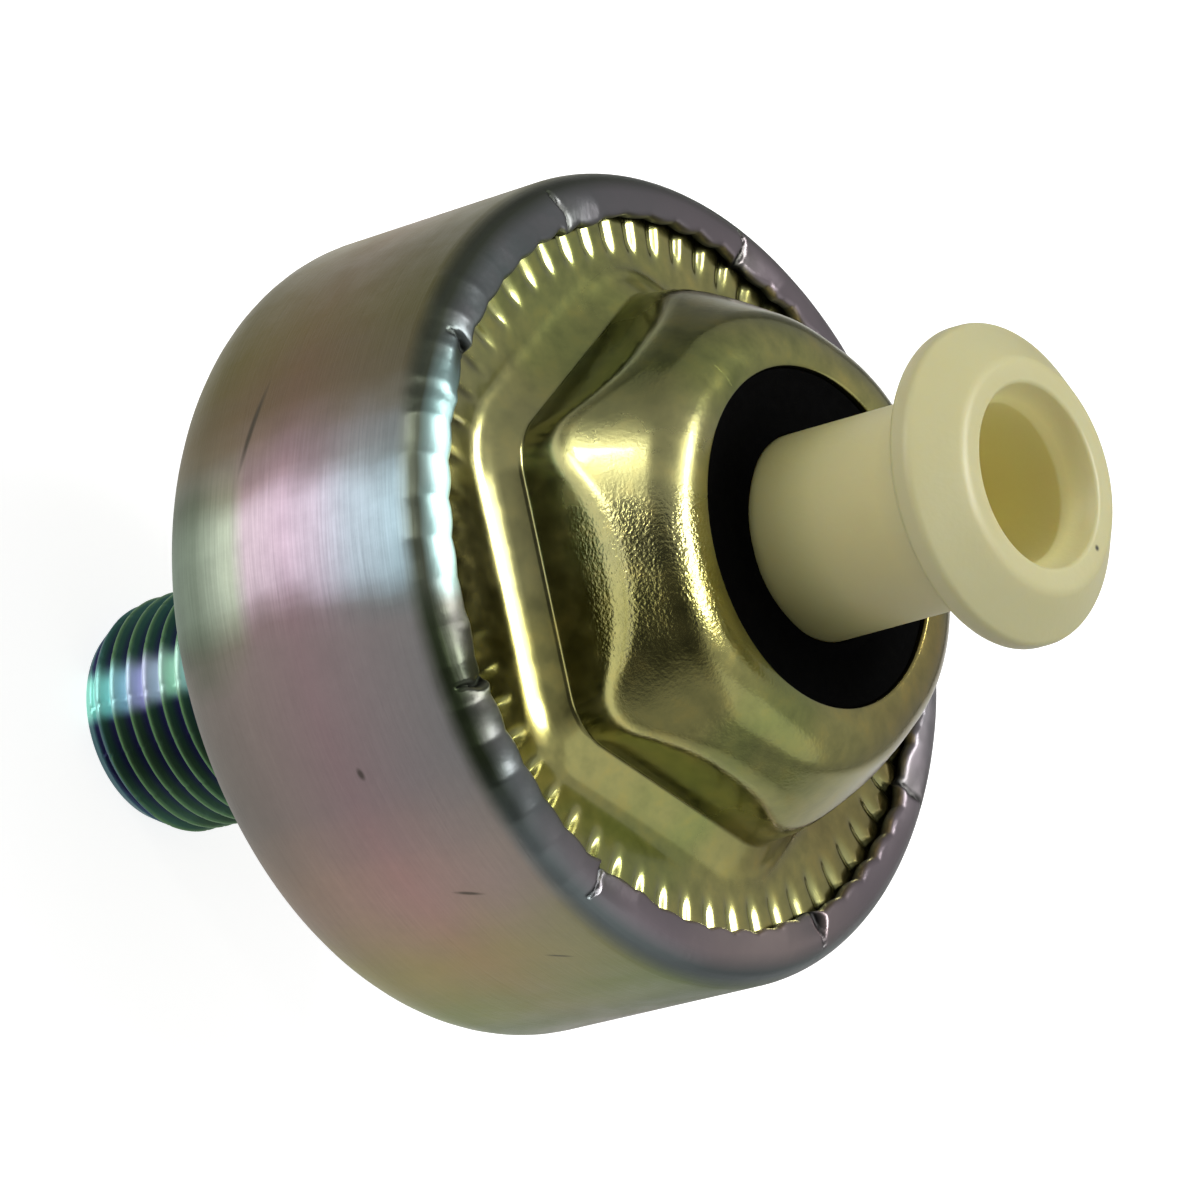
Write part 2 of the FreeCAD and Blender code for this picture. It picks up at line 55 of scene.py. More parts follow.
# corners that no view shows, in millimetres: radius, height, and steps on the run after it
CHAMBER_FLOOR = 4.2
BORE = 15.97
CUP_INSIDE = ((BORE, 10.6, 1), (13.4, 10.6, 1), (13.4, 5.6, 1), (11.4, 5.6, 1),
              (11.4, CHAMBER_FLOOR, 2))
POST_FOOT = 10.6
POST_BASE = ((15.92, POST_FOOT, 1), (15.92, 11.19, 1), (14.23, 11.19, 1), (14.23, 13.01, 1),
             (15.92, 13.01, 1), (15.92, 13.6, 2), (6.2, 13.6, 1), (6.2, 15.0, 1))
CASTING_FOOT = 13.62
CASTING_SIDE = ((9.0, CASTING_FOOT, 2), (9.0, 19.2, 1))


# Sizes and colours

def length(label, text, millimetres):
    """A size in the panel, kept in metres."""
    return FloatProperty(
        name=label, description=text, default=millimetres * MM, min=0.0, precision=5,
        subtype="DISTANCE", unit="LENGTH")


def tint(label, text, red, green, blue):
    """A colour in the panel, given as it looks on a screen and kept linear."""
    linear = [((c + 0.055) / 1.055) ** 2.4 if c > 0.04045 else c / 12.92
              for c in (red, green, blue)]
    return FloatVectorProperty(
        name=label, description=text, size=3, default=linear, min=0.0, max=1.0,
        subtype="COLOR")


class SensorStud(bpy.types.PropertyGroup):
    """Sizes of the threaded stud."""
    length: length("Length", "From the cup's underside to the stud's end", 14.03)
    end_radius: length("End radius", "Crest radius at the small end of the taper", 4.99)
    pitch: length("Pitch", "Distance from one crest to the next", 0.941)
    depth: length("Thread depth", "From crest to root", 0.64)
    lead_in: length("Lead-in", "Length of the chamfer at the stud's end", 1.35)
    taper: FloatProperty(
        name="Taper", description="Growth of the radius for each unit of length",
        default=0.03125, min=0.0)


class SensorCup(bpy.types.PropertyGroup):
    """Sizes of the cup and its rolled lip."""
    radius: length("Radius", "Outer radius under the lip", 17.12)
    draft: length("Draft", "How much narrower the wall is at the underside", 0.25)
    height: length("Height", "From the underside to the top of the lip", 15.6)
    foot_round: length("Foot round", "Radius between underside and wall", 3.8)
    lip_round: length("Lip round", "Radius of the rolled lip outside", 1.76)
    lip_edge: length("Lip edge", "Radius of the lip's inner edge", 15.0)
    lip_thickness: length("Lip thickness", "Height of the lip over the cover's flange", 0.8)
    stake_width: length("Stake width", "Width of a staked tab along the lip", 2.3)
    stake_reach: length("Stake reach", "How far a staked tab reaches out from the edge", 1.3)
    stake_depth: length("Stake depth", "How far a staked tab is pressed down", 0.34)
    stakes: IntProperty(name="Stakes", description="Number of staked tabs", default=8, min=1)


class SensorCover(bpy.types.PropertyGroup):
    """Sizes of the drawn hexagonal cover."""
    sheet: length("Sheet", "Thickness of the sheet", 1.2)
    height: length("Height", "Height of the crown", 22.37)
    dish: length("Dish", "How far the crown is dished down to the opening", 0.2)
    half_flats: length("Half across flats", "Half the size across the hexagon's flats", 10.31)
    corner_round: length("Corner round", "Radius of the upright edges at their foot", 2.3)
    corner_top_round: length("Corner top round", "Radius of the upright edges at their top", 3.3)
    ledge_half_flats: length("Ledge half across flats", "The same at the ledge's foot", 11.9)
    ledge_corner_round: length("Ledge corner round", "Radius of the ledge's corners", 4.0)
    ledge_rise: length("Ledge rise", "Height of the sloped ledge", 1.1)
    crown: length("Crown", "Half across the flats where the shoulders start", 8.80)
    crown_corner: length("Crown corner", "Radius of the crown's corners", 7.6)
    crown_round: length("Crown round", "Radius between the crown and the shoulders", 2.4)
    shoulder_round: length("Shoulder round", "Radius between shoulders and walls", 3.0)
    opening: length("Opening", "Radius of the pierced opening", 7.1)
    flange: length("Flange", "Outer radius of the round flange", 15.92)
    flange_top: length("Flange top", "Height of the flange's upper face", 14.8)
    knurl_start: length("Knurl start", "Radius where the grooves start", 13.05)
    knurl_depth: length("Knurl depth", "Depth of a groove", 0.17)
    knurl_half: length("Knurl half width", "Half the width of a groove", 0.25)
    knurls: IntProperty(name="Knurls", description="Number of grooves", default=60, min=3)
    slope: FloatProperty(
        name="Slope", description="Angle of the shoulders under level",
        default=math.radians(62), subtype="ANGLE", unit="ROTATION")


class SensorPost(bpy.types.PropertyGroup):
    """Sizes of the moulded post and of the casting round it."""
    stem: length("Stem", "Radius of the stem", 4.33)
    head: length("Head", "Radius of the mushroom head", 6.66)
    head_under: length("Head underside", "Height where the head leaves the stem", 30.2)
    rim_low: length("Rim low", "Lower edge of the head's rim", 31.0)
    rim_high: length("Rim high", "Upper edge of the head's rim", 31.9)
    front: length("Front", "Radius of the head's front ring", 4.8)
    top: length("Top", "Height of the head's front", 33.45)
    mouth: length("Mouth", "Radius of the socket's mouth", 3.84)
    socket: length("Socket", "Radius of the socket", 3.3)
    socket_floor: length("Socket floor", "Height of the socket's floor", 25.0)
    pin_hole: length("Pin hole", "Radius of the hole for the pin", 1.12)
    casting_drop: length("Casting drop", "How far the casting lies under the cover's top", 0.25)


class SensorColours(bpy.types.PropertyGroup):
    """Colours of the outer finishes."""
    cup_mauve: tint("Cup mauve", "Greyish pink of the cup's passivated zinc", 0.48, 0.432, 0.425)
    cup_rose: tint("Cup rose", "Warm pink of the cup", 0.55, 0.465, 0.43)
    cup_tan: tint("Cup tan", "Tan of the cup", 0.52, 0.475, 0.33)
    cup_umber: tint("Cup umber", "Dull brown of the cup", 0.37, 0.325, 0.17)
    cup_brown: tint("Cup brown", "Pinkish brown of the cup", 0.385, 0.33, 0.245)
    cup_green: tint("Cup green", "Olive-green of the cup", 0.44, 0.45, 0.26)
    cup_olive: tint("Cup olive", "Dark olive of the cup", 0.345, 0.375, 0.185)
    # painted highlight: the palest pink is laid on the wall's lit stretch
    cup_pale: tint("Cup pale", "Palest pink of the cup", 0.69, 0.66, 0.68)
    lip_slate: tint("Lip slate", "Grey of the rolled lip's top", 0.42, 0.45, 0.45)
    lip_dark: tint("Lip dark", "Green-grey of the lip's outer round", 0.32, 0.34, 0.29)
    lip_black: tint("Lip black", "Darkest stretch of the outer round", 0.21, 0.24, 0.17)
    lip_warm: tint("Lip warm", "Warm grey of the lip", 0.68, 0.62, 0.61)
    lip_plum: tint("Lip plum", "Purplish grey of the lip", 0.54, 0.50, 0.52)
    # painted highlight: the pale blue-green stands for the lamps' highlight on the lip's top, not
    # a rubbed stretch
    lip_cyan: tint("Lip cyan", "Pale blue-green of the lip's rubbed stretch", 0.62, 0.76, 0.75)
    stud_green: tint("Stud green", "Main tone of the stud's thread", 0.30, 0.40, 0.30)
    stud_teal: tint("Stud teal", "Blue-green of the thread's end", 0.26, 0.44, 0.42)
    stud_violet: tint("Stud violet", "Violet of the thread's roots", 0.27, 0.26, 0.45)
    stud_crest: tint("Stud crest", "Tone of the thread's crests", 0.36, 0.50, 0.34)
    cover_gold: tint("Cover gold", "Main tone of the cover", 0.64, 0.62, 0.375)
    cover_green: tint("Cover green", "Green tone of the cover", 0.56, 0.58, 0.33)
    cover_brown: tint("Cover brown", "Warm brown tone of the cover", 0.60, 0.54, 0.31)
    # painted highlight: a paler cream tone on the cover's front where the lamps' highlights fall
    cover_cream: tint("Cover cream", "Rubbed metal on the cover's front", 0.66, 0.65, 0.49)
    # painted glints: the pale tone in the flange's grooves, not pressed metal
    cover_pale: tint("Cover pale", "Pressed metal in the flange's grooves", 0.78, 0.79, 0.54)
    ivory: tint("Ivory", "The moulded post", 0.73, 0.72, 0.545)
    ivory_deep: tint("Ivory deep", "The post where its material is thick", 0.70, 0.67, 0.44)
    # painted light: a lighter tan inside the socket, for light through the plastic
    socket_tan: tint("Socket tan", "Inside of the socket", 0.87, 0.85, 0.62)
    casting: tint("Casting", "The black casting", 0.012, 0.012, 0.012)


# Surfaces

def angles_round(columns):
    """Angles spaced evenly over one turn."""
    return np.arange(columns) * TURN / columns


def smooth(share):
    """Eases from 0 to 1: three times the share squared less twice its cube, the share clipped."""
    share = np.clip(share, 0.0, 1.0)
    return share * share * (3 - 2 * share)


def unit(vectors):
    """Each vector over its own length."""
    return vectors / np.maximum(np.linalg.norm(vectors, axis=-1, keepdims=True), 1e-12)


def rounded_outline(corners, count):
    """Rows of (radius, height) along an outline with rounded corners, at count angles at once.

    A corner is (radius, height, round, steps on its arc, steps on the run after it), and any of
    the first three may differ with the angle. The arc starts at reach = round / tan(half) from
    the corner on both of its runs, where half is half the angle between them. Its centre lies
    on their bisector at round / sin(half). A point at share t is the centre plus
    (sin((1 - t) sweep) start + sin(t sweep) end) / sin(sweep), with sweep = pi - 2 half.
    Where two rounds would meet on their run, both are held back by the same share."""
    spots = np.stack([
        np.stack([np.broadcast_to(radius, count), np.broadcast_to(height, count)], -1)
        for radius, height, *_ in corners])
    runs = np.diff(spots, axis=0)
    lengths = np.linalg.norm(runs, axis=2)
    runs = unit(runs)
    half = np.arccos(np.clip(-(runs[:-1] * runs[1:]).sum(2), -0.99999, 0.99999)) / 2
    bends = np.stack([np.broadcast_to(corner[2], count) for corner in corners[1:-1]])
    reach = bends / np.tan(half)
    none = np.zeros((1, count))
    room = lengths / np.maximum(
        np.concatenate([none, reach]) + np.concatenate([reach, none]), 1e-9)
    reach = reach * np.minimum(np.minimum(room[:-1], room[1:]), 1.0) * 0.98
    rows = [spots[0][None]]
    for i, (_, _, _, arc_steps, _) in enumerate(corners[1:-1]):
        spot, before, after = spots[i + 1], -runs[i], runs[i + 1]
        centre = spot + unit(before + after) * (reach[i] / np.cos(half[i]))[:, None]
        start = spot + before * reach[i][:, None] - centre
        end = spot + after * reach[i][:, None] - centre
        sweep = np.maximum(math.pi - 2 * half[i], 1e-3)[None, :, None]
        share = np.linspace(0, 1, arc_steps + 1)[:, None, None]
        arc = centre + (np.sin((1 - share) * sweep) * start
                        + np.sin(share * sweep) * end) / np.sin(sweep)
        rows.append(run_rows(rows[-1][-1], arc[0], corners[i][4]))
        rows.append(arc)
    rows.append(run_rows(rows[-1][-1], spots[-1], corners[-2][4]))
    rows.append(spots[-1][None])
    return np.concatenate(rows)


def run_rows(start, end, steps):
    """Rows spaced evenly between two rows, without either of them."""
    share = (np.arange(1, steps) / max(steps, 1))[:, None, None]
    return start + (end - start) * share


def square_corners(table):
    """Outline corners from a table of hidden ones, each with hardly any round."""
    return [(radius * MM, height * MM, SHARP, 1, steps) for radius, height, steps in table]


def turned(outline, angles):
    """Points (radius cos angle, radius sin angle, height) of an outline, row by row."""
    radius, height = outline[..., 0], outline[..., 1]
    return np.stack([radius * np.cos(angles), radius * np.sin(angles), height], -1)


def band(first, rows, columns, closed=False):
    """Quads of a grid that closes round the axis. The outside lies to the right of its rows."""
    row, column = np.meshgrid(
        np.arange(rows if closed else rows - 1), np.arange(columns), indexing="ij")
    beside, above = (column + 1) % columns, (row + 1) % rows
    quads = np.stack([row * columns + column, row * columns + beside,
                      above * columns + beside, above * columns + column], -1)
    return first + quads.reshape(-1, 4)


def helix_band(first, rows, columns):
    """The triangles of band(), all split along the diagonal that climbs with the angle's turn
    back, so that the crest of a thread stays one line."""
    quads = band(first, rows, columns)
    return np.concatenate([quads[:, [0, 1, 3]], quads[:, [1, 2, 3]]])


def fan(pole, first, columns, up):
    """Triangles from a pole to a row."""
    column = np.arange(columns)
    beside = (column + 1) % columns
    ends = (column, beside) if up else (beside, column)
    return np.stack([np.full(columns, pole), first + ends[0], first + ends[1]], -1)


def stitch(coarse, columns, fine, ratio):
    """Triangles from a row to the next one, which has ratio times as many points."""
    column = np.arange(columns)
    beside = (column + 1) % columns
    half = ratio // 2
    total = columns * ratio
    sides = []
    for i in range(ratio):
        near = column if i < half else beside
        sides.append(np.stack([coarse + near, fine + (column * ratio + i + 1) % total,
                               fine + column * ratio + i], -1))
    middle = np.stack([coarse + column, coarse + beside, fine + column * ratio + half], -1)
    return np.concatenate(sides + [middle])


def new_piece(name, points, faces, node, slot, material, layers=()):
    """A smooth-shaded mesh object in its place, which stands for one CAD node."""
    mesh = bpy.data.meshes.new(name)
    mesh.materials.append(material)
    points = np.ascontiguousarray(points.reshape(-1, 3), np.float32)
    mesh.vertices.add(len(points))
    mesh.vertices.foreach_set("co", points.ravel())
    corners = np.concatenate([face.ravel() for face in faces]).astype(np.int32)
    sizes = np.concatenate([np.full(len(face), face.shape[1]) for face in faces])
    starts = np.concatenate([[0], np.cumsum(sizes)[:-1]]).astype(np.int32)
    mesh.loops.add(len(corners))
    mesh.loops.foreach_set("vertex_index", corners)
    mesh.polygons.add(len(sizes))
    mesh.polygons.foreach_set("loop_start", starts)
    mesh.polygons.foreach_set("use_smooth", np.ones(len(sizes), bool))
    mesh.update(calc_edges=True)
    for layer, values in layers:
        attribute = mesh.attributes.new(layer, "FLOAT", "POINT")
        attribute.data.foreach_set("value", np.ascontiguousarray(values, np.float32).ravel())
    mesh.validate()
    piece = bpy.data.objects.new(name, mesh)
    bpy.context.scene.collection.objects.link(piece)
    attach(piece, "root")
    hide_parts(node)
    return piece


def ring_piece(name, outline, angles, *settings):
    """A piece whose closed outline goes once round the axis."""
    faces = [band(0, outline.shape[0], len(angles), closed=True)]
    return new_piece(name, turned(outline, angles), faces, *settings)


def hexagon_reach(angles, half_flats, corner):
    """Distance from the axis to a hexagon with rounded corners, two flats square to X.

    Folded to one side, the flat gives half_flats / cos(angle). Past the angle where the flat
    ends, the corner's circle gives d cos(a) + sqrt(corner^2 - d^2 sin(a)^2), with a measured
    from the corner and d = (half_flats - corner) / cos(30 degrees)."""
    folded = np.abs((angles + HEX_CORNER) % (2 * HEX_CORNER) - HEX_CORNER)
    centre = (half_flats - corner) / math.cos(HEX_CORNER)
    flat_end = math.atan((half_flats - corner) * math.tan(HEX_CORNER) / half_flats)
    turn = HEX_CORNER - folded
    inside = np.maximum(corner ** 2 - (centre * np.sin(turn)) ** 2, 0)
    arc = centre * np.cos(turn) + np.sqrt(inside)
    return np.where(folded < flat_end, half_flats / np.cos(folded), arc)


def stud_rows(stud, columns, per_pitch, top):
    """The thread as a grid whose rows climb with the helix, and how deep each point lies.

    Height = end + step (row + fraction of per_pitch angle / turn), so each row keeps its place
    between crest and root. Radius = the smaller of the lead-in cone and
    end_radius + taper height - depth groove(phase) fade, with phase = height / pitch less
    angle / turn. groove is the distance from the crest less its flat, over the flank's width,
    eased half-way."""
    angles = angles_round(columns)
    step = stud.pitch / per_pitch
    count = int((stud.length + top) / step)
    row = np.arange(count)[:, None]
    settle = smooth(row / 4) * smooth((count - 1 - row) / 4)
    turns = angles[None] / TURN
    height = step * (row + settle * ((per_pitch * turns) % 1.0))
    phase = (height / stud.pitch - turns) % 1.0
    away = np.abs(phase - 0.5)
    flank = np.clip((away - 0.05) / 0.4, 0, 1)
    groove = 0.5 * flank + 0.5 * smooth(flank)
    fade = smooth((stud.length - 0.9 * MM - height) / (1.3 * MM))
    radius = stud.end_radius + stud.taper * height - stud.depth * groove * fade
    cone = stud.end_radius - stud.depth + height * (stud.depth + 0.1 * MM) / stud.lead_in
    outline = np.stack([np.minimum(radius, cone), height - stud.length], -1)
    worn = np.where(radius < cone, 1 - groove * fade, 0.5)
    return turned(outline, angles), worn


def stake_marks(cup, angles, radius):
    """How deep the lip is staked and cracked at each point.

    A tab hangs on one side and is torn on the other. It is pressed down by depth times
    (along / half width + 1) / 2 up to its torn side, where it stops within 0.12 mm, and times
    the ease of (reach - out) / 0.7 reach. The crack is a narrow bell round the torn side, which
    waves a little and thins outwards."""
    pressed = np.zeros(radius.shape)
    crack = np.zeros(radius.shape)
    out = np.maximum(radius - cup.lip_edge, 0)
    for number in range(cup.stakes):
        centre = STAKE_ANGLE + TURN * number / cup.stakes
        torn = 1 if number in TORN_AHEAD else -1
        half = cup.stake_width / 2 * (1 + 0.12 * math.sin(3.7 * number))
        reach = cup.stake_reach * (1 + 0.15 * math.cos(2.3 * number))
        waver = 0.10 * MM * np.sin(out / (0.25 * MM) + number)
        along = ((angles - centre + math.pi) % TURN - math.pi)[None] * cup.lip_edge * torn
        along = along - waver
        hinged = np.clip((along / half + 1) / 2, 0, 1)
        inside = smooth((half - along) / (0.12 * MM)) * smooth((reach - out) / (0.7 * reach))
        pressed += cup.stake_depth * hinged * inside
        narrow = 0.13 * MM * (1.2 - 0.9 * smooth(out / (1.3 * reach)))
        line = np.exp(-((along - half - 0.02 * MM) / narrow) ** 2)
        crack += line * smooth((1.35 * reach - out) / (0.25 * MM))
    return pressed, np.clip(crack, 0, 1)


TORN_AHEAD = (2, 3, 5, 7)
STAKE_ANGLE = math.radians(23.5)
NARROW_LIP = math.radians(-118)
FAINT_KNURLS = math.radians(-138)


def ripple(angles, waves):
    """A sum of sines of the angle, each (count, size, phase)."""
    return sum(size * np.sin(count * angles + phase) for count, size, phase in waves)


# Shader nodes

def node(tree, kind, inputs=None, **settings):
    """A shader node with its settings, and its inputs set to a value or linked to a socket."""
    made = tree.nodes.new(kind)
    for key, setting in settings.items():
        setattr(made, key, setting)
    for key, given in (inputs or {}).items():
        socket = made.inputs[key]
        if isinstance(given, bpy.types.NodeSocket):
            tree.links.new(given, socket)
        else:
            socket.default_value = given
    return made


def maths(tree, operation, *values, clamp=False):
    """The result of one Math node."""
    made = node(tree, "ShaderNodeMath", dict(enumerate(values)), operation=operation)
    made.use_clamp = clamp
    return made.outputs[0]


def times(tree, first, second):
    """The product of two numbers."""
    return maths(tree, "MULTIPLY", first, second)


def scaled(tree, value, slope, start, clamp=False):
    """slope times the value plus start."""
    return maths(tree, "MULTIPLY_ADD", value, slope, start, clamp=clamp)


def rising(tree, value, none, full):
    """0 where the value is at none, 1 where it is at full, held at both ends:
    (value - none) / (full - none)."""
    slope = 1 / (full - none)
    return scaled(tree, value, slope, -none * slope, clamp=True)


def vector_maths(tree, operation, *values):
    """The result of one Vector Math node, which is a number for a length or a dot product."""
    made = node(tree, "ShaderNodeVectorMath", dict(enumerate(values)), operation=operation)
    number = operation in ("LENGTH", "DISTANCE", "DOT_PRODUCT")
    return made.outputs["Value" if number else "Vector"]


def place_of(tree):
    """The point's place on the object, in metres."""
    return node(tree, "ShaderNodeTexCoord").outputs["Object"]


def noise(tree, vector, scale, detail, roughness):
    """The value of a noise texture."""
    return node(tree, "ShaderNodeTexNoise", {
        "Vector": vector, "Scale": scale, "Detail": detail,
        "Roughness": roughness}).outputs["Fac"]


def stretched_noise(tree, place, across, along, detail, roughness):
    """Noise with one scale across the axis and another along it."""
    scale = node(tree, "ShaderNodeCombineXYZ", {"X": across, "Y": across, "Z": along}).outputs[0]
    return noise(tree, vector_maths(tree, "MULTIPLY", place, scale), 1.0, detail, roughness)


def point_value(tree, name):
    """A value kept at the mesh's points."""
    return node(tree, "ShaderNodeAttribute", attribute_name=name).outputs["Fac"]


def paint(given):
    """A socket as it is, and a grey value, a colour or a panel colour's name with its alpha."""
    if isinstance(given, bpy.types.NodeSocket):
        return given
    if isinstance(given, float):
        given = (given,) * 3
    elif isinstance(given, str):
        given = getattr(bpy.context.scene.sensor_colours, given)
    return (*given, 1.0)


def blend(tree, share, first, second, kind="MIX"):
    """The result of mixing two colours."""
    made = node(tree, "ShaderNodeMix", {0: share, 6: paint(first), 7: paint(second)},
                data_type="RGBA", blend_type=kind)
    return made.outputs[2]


def tinted(tree, tone, factor):
    """A colour times another one."""
    return blend(tree, 1.0, tone, factor, "MULTIPLY")


def ramp(tree, share, stops, interpolation="LINEAR"):
    """A colour ramp over stops of (place, grey value, linear colour or panel colour's name)."""
    made = node(tree, "ShaderNodeValToRGB", {0: share})
    scale = made.color_ramp
    scale.interpolation = interpolation
    for i, (place, shade) in enumerate(stops):
        stop = scale.elements[i] if i < 2 else scale.elements.new(place)
        stop.position = place
        stop.color = paint(shade)
    return made.outputs[0]


def bands(tree, share, stops):
    """Colours round the axis at (degrees, colour name) stops, the same at both ends."""
    return ramp(tree, share, [(degrees / 360 + 0.5, name) for degrees, name in stops], "EASE")


def new_group(name, inputs, *outputs):
    """A shader node group, its inputs and outputs by name, and the place on the object."""
    tree = bpy.data.node_groups.new(name, "ShaderNodeTree")
    for label, default in inputs.items():
        socket = tree.interface.new_socket(label, in_out="INPUT", socket_type="NodeSocketFloat")
        socket.default_value = default
    for label in outputs:
        tree.interface.new_socket(label, in_out="OUTPUT", socket_type="NodeSocketFloat")
    source = tree.nodes.new("NodeGroupInput")
    result = tree.nodes.new("NodeGroupOutput")
    return tree, source.outputs, result.inputs, place_of(tree)


def clouds_group(name):
    """Broad and fine patches of a passivated finish, each from 0 to 1."""
    tree, given, result, place = new_group(name, {"Scale": 100.0, "Shift": 0.0}, "Broad", "Fine")
    moved = vector_maths(tree, "ADD", place, given["Shift"])
    for label, factor, detail in (("Broad", 1.0, 3.0), ("Fine", 7.0, 5.0)):
        patches = noise(tree, moved, times(tree, given["Scale"], factor), detail, 0.55)
        tree.links.new(rising(tree, patches, 0.29167, 0.70833), result[label])
    return tree


def turning_group(name):
    """Height of the fine lines that turning or drawing leaves round the axis."""
    tree, given, result, place = new_group(name, {"Fineness": 9000.0}, "Height")
    lines = stretched_noise(tree, place, 260.0, given["Fineness"], 4.0, 0.6)
    tree.links.new(lines, result["Height"])
    return tree


def streaks_group(name):
    """Soft streaks along the axis, from 0 to 1."""
    tree, given, result, place = new_group(name, {"Along": 60.0, "Across": 400.0}, "Share")
    streaks = stretched_noise(tree, place, given["Across"], given["Along"], 3.0, 0.5)
    tree.links.new(streaks, result["Share"])
    return tree


def grain_group(name):
    """Height of the fine orange-peel grain of drawn sheet, castings and mouldings."""
    tree, given, result, place = new_group(name, {"Scale": 3000.0}, "Height")
    tree.links.new(noise(tree, place, given["Scale"], 2.0, 0.5), result["Height"])
    return tree


GROUPS = {"Clouds": clouds_group, "Turning lines": turning_group,
          "Streaks": streaks_group, "Grain": grain_group}


def group(tree, name, **inputs):
    """The outputs of one of the shared groups in a material."""
    made = tree.nodes.new("ShaderNodeGroup")
    made.node_tree = bpy.data.node_groups.get(name) or GROUPS[name](name)
    for key, given in inputs.items():
        made.inputs[key].default_value = given
    return made.outputs


def new_material(name, roughness, metallic, others=None):
    """A material with a Principled shader, its tree and that shader's inputs."""
    material = bpy.data.materials.new(name)
    material.use_nodes = True
    tree = material.node_tree
    into = tree.nodes["Principled BSDF"].inputs
    for key, given in {"Roughness": roughness, "Metallic": metallic, **(others or {})}.items():
        into[key].default_value = given
    return material, tree, into


def bump(tree, height, distance, normal=None):
    """The normal of a height map, over another normal where one is given."""
    inputs = {"Height": height, "Distance": distance, "Strength": 1.0}
    if normal is not None:
        inputs["Normal"] = normal
    return node(tree, "ShaderNodeBump", inputs).outputs[0]


def add_grain(tree, into, scale, depth, normal=None):
    """Give a shader the shared grain as its normal, with its depth in metres."""
    height = group(tree, "Grain", Scale=scale)["Height"]
    tree.links.new(bump(tree, height, depth, normal), into["Normal"])


def place_on_part(tree):
    """Height in millimetres, and the angle round the axis as a share of a turn from -X."""
    parts = node(tree, "ShaderNodeSeparateXYZ", {0: place_of(tree)}).outputs
    around = maths(tree, "ARCTAN2", parts["Y"], parts["X"])
    return times(tree, parts["Z"], 1000.0), scaled(tree, around, 1 / TURN, 0.5)


def mark(tree, share, height, degrees, level, tilt, long_mm, wide_mm):
    """Mask of one thin scratch on the cup's wall: 1 less the distance from its middle, with
    its own length and width as units along and across it."""
    round_mm = TURN * bpy.context.scene.sensor_cup.radius / MM
    along = scaled(tree, share, round_mm, -(degrees / 360 + 0.5) * round_mm)
    rise = maths(tree, "SUBTRACT", height, level)
    place = node(tree, "ShaderNodeCombineXYZ", {"X": along, "Y": rise}).outputs[0]
    turned_place = node(tree, "ShaderNodeVectorRotate", {
        "Vector": place, "Angle": math.radians(tilt)}, rotation_type="Z_AXIS").outputs[0]
    sized = vector_maths(tree, "MULTIPLY", turned_place, (2 / long_mm, 2 / wide_mm, 0.0))
    return maths(tree, "SUBTRACT", 1.0, vector_maths(tree, "LENGTH", sized), clamp=True)


# Finishes

def stretch(strength, start, full, until, end):
    """Ramp stops that are 0 up to start, strength from full until, and 0 again from end."""
    return ((start, 0.0), (full, strength), (until, strength), (end, 0.0))


# degrees round the axis and the colour there
# the palest pink between -136 and -128 degrees is a painted highlight on the lit stretch
WALL_BANDS = (
    (-180, "cup_umber"), (-168, "cup_umber"), (-157, "cup_brown"), (-146, "cup_mauve"),
    (-136, "cup_pale"), (-128, "cup_pale"), (-121, "cup_mauve"), (-100, "cup_mauve"),
    (-80, "cup_rose"), (-62, "cup_tan"), (-50, "cup_green"), (-38, "cup_olive"),
    (-15, "cup_mauve"), (15, "cup_rose"), (50, "cup_tan"), (85, "cup_mauve"),
    (120, "cup_green"), (155, "cup_tan"), (180, "cup_umber"))
# the pale blue-green from -153 to -127 degrees is a painted highlight on the lip's top
LIP_BANDS = (
    (-180, "lip_slate"), (-163, "lip_slate"), (-153, "lip_cyan"), (-127, "lip_cyan"),
    (-118, "lip_dark"), (-108, "lip_dark"), (-92, "lip_slate"), (-60, "lip_plum"),
    (-35, "lip_warm"), (0, "lip_plum"), (60, "lip_slate"), (110, "lip_plum"),
    (180, "lip_slate"))
ROUND_BANDS = (
    (-180, "lip_dark"), (-125, "lip_dark"), (-113, "lip_black"), (-98, "lip_black"),
    (-78, "lip_slate"), (-40, "lip_slate"), (40, "lip_dark"), (180, "lip_dark"))
COVER_BANDS = (
    (-180, "cover_green"), (-150, "cover_gold"), (-128, "cover_gold"), (-90, "cover_gold"),
    (-60, "cover_green"), (-30, "cover_gold"), (20, "cover_brown"), (70, "cover_green"),
    (120, "cover_gold"), (180, "cover_green"))
# share of the wall's height, and the factor on its colour all round and on its lit stretch, where
# the factors tint a painted highlight
WALL_HEIGHT = 14.0
LEVEL_TINTS = (
    (0.0, (0.90, 1.06, 0.96)), (0.35, (1.0, 1.02, 0.97)), (0.58, (1.06, 0.96, 1.02)),
    (0.80, (0.95, 1.01, 1.05)), (1.0, (0.84, 1.0, 1.02)))
WALL_HIGHLIGHT_TINTS = (
    (0.0, (0.80, 1.00, 0.80)), (0.37, (0.84, 1.02, 0.78)), (0.43, (1.06, 0.97, 1.03)),
    (0.70, (1.0, 0.98, 1.03)), (0.84, (0.90, 1.06, 1.08)), (1.0, (0.86, 1.06, 1.08)))
# height up the stud in millimetres, and how the tone of the painted highlight on its bright
# stretch goes
STUD_HEIGHT = 14.0
STUD_HIGHLIGHT_TINTS = (
    (-14.0, (0.30, 0.75, 0.62)), (-12.2, (0.36, 0.72, 0.72)), (-10.4, (0.52, 0.50, 0.78)),
    (-8.6, (0.46, 0.78, 0.58)), (-6.6, (0.46, 0.55, 0.80)), (-4.4, (0.55, 0.78, 0.52)),
    (-2.0, (0.50, 0.60, 0.55)), (0.0, (0.45, 0.50, 0.42)))
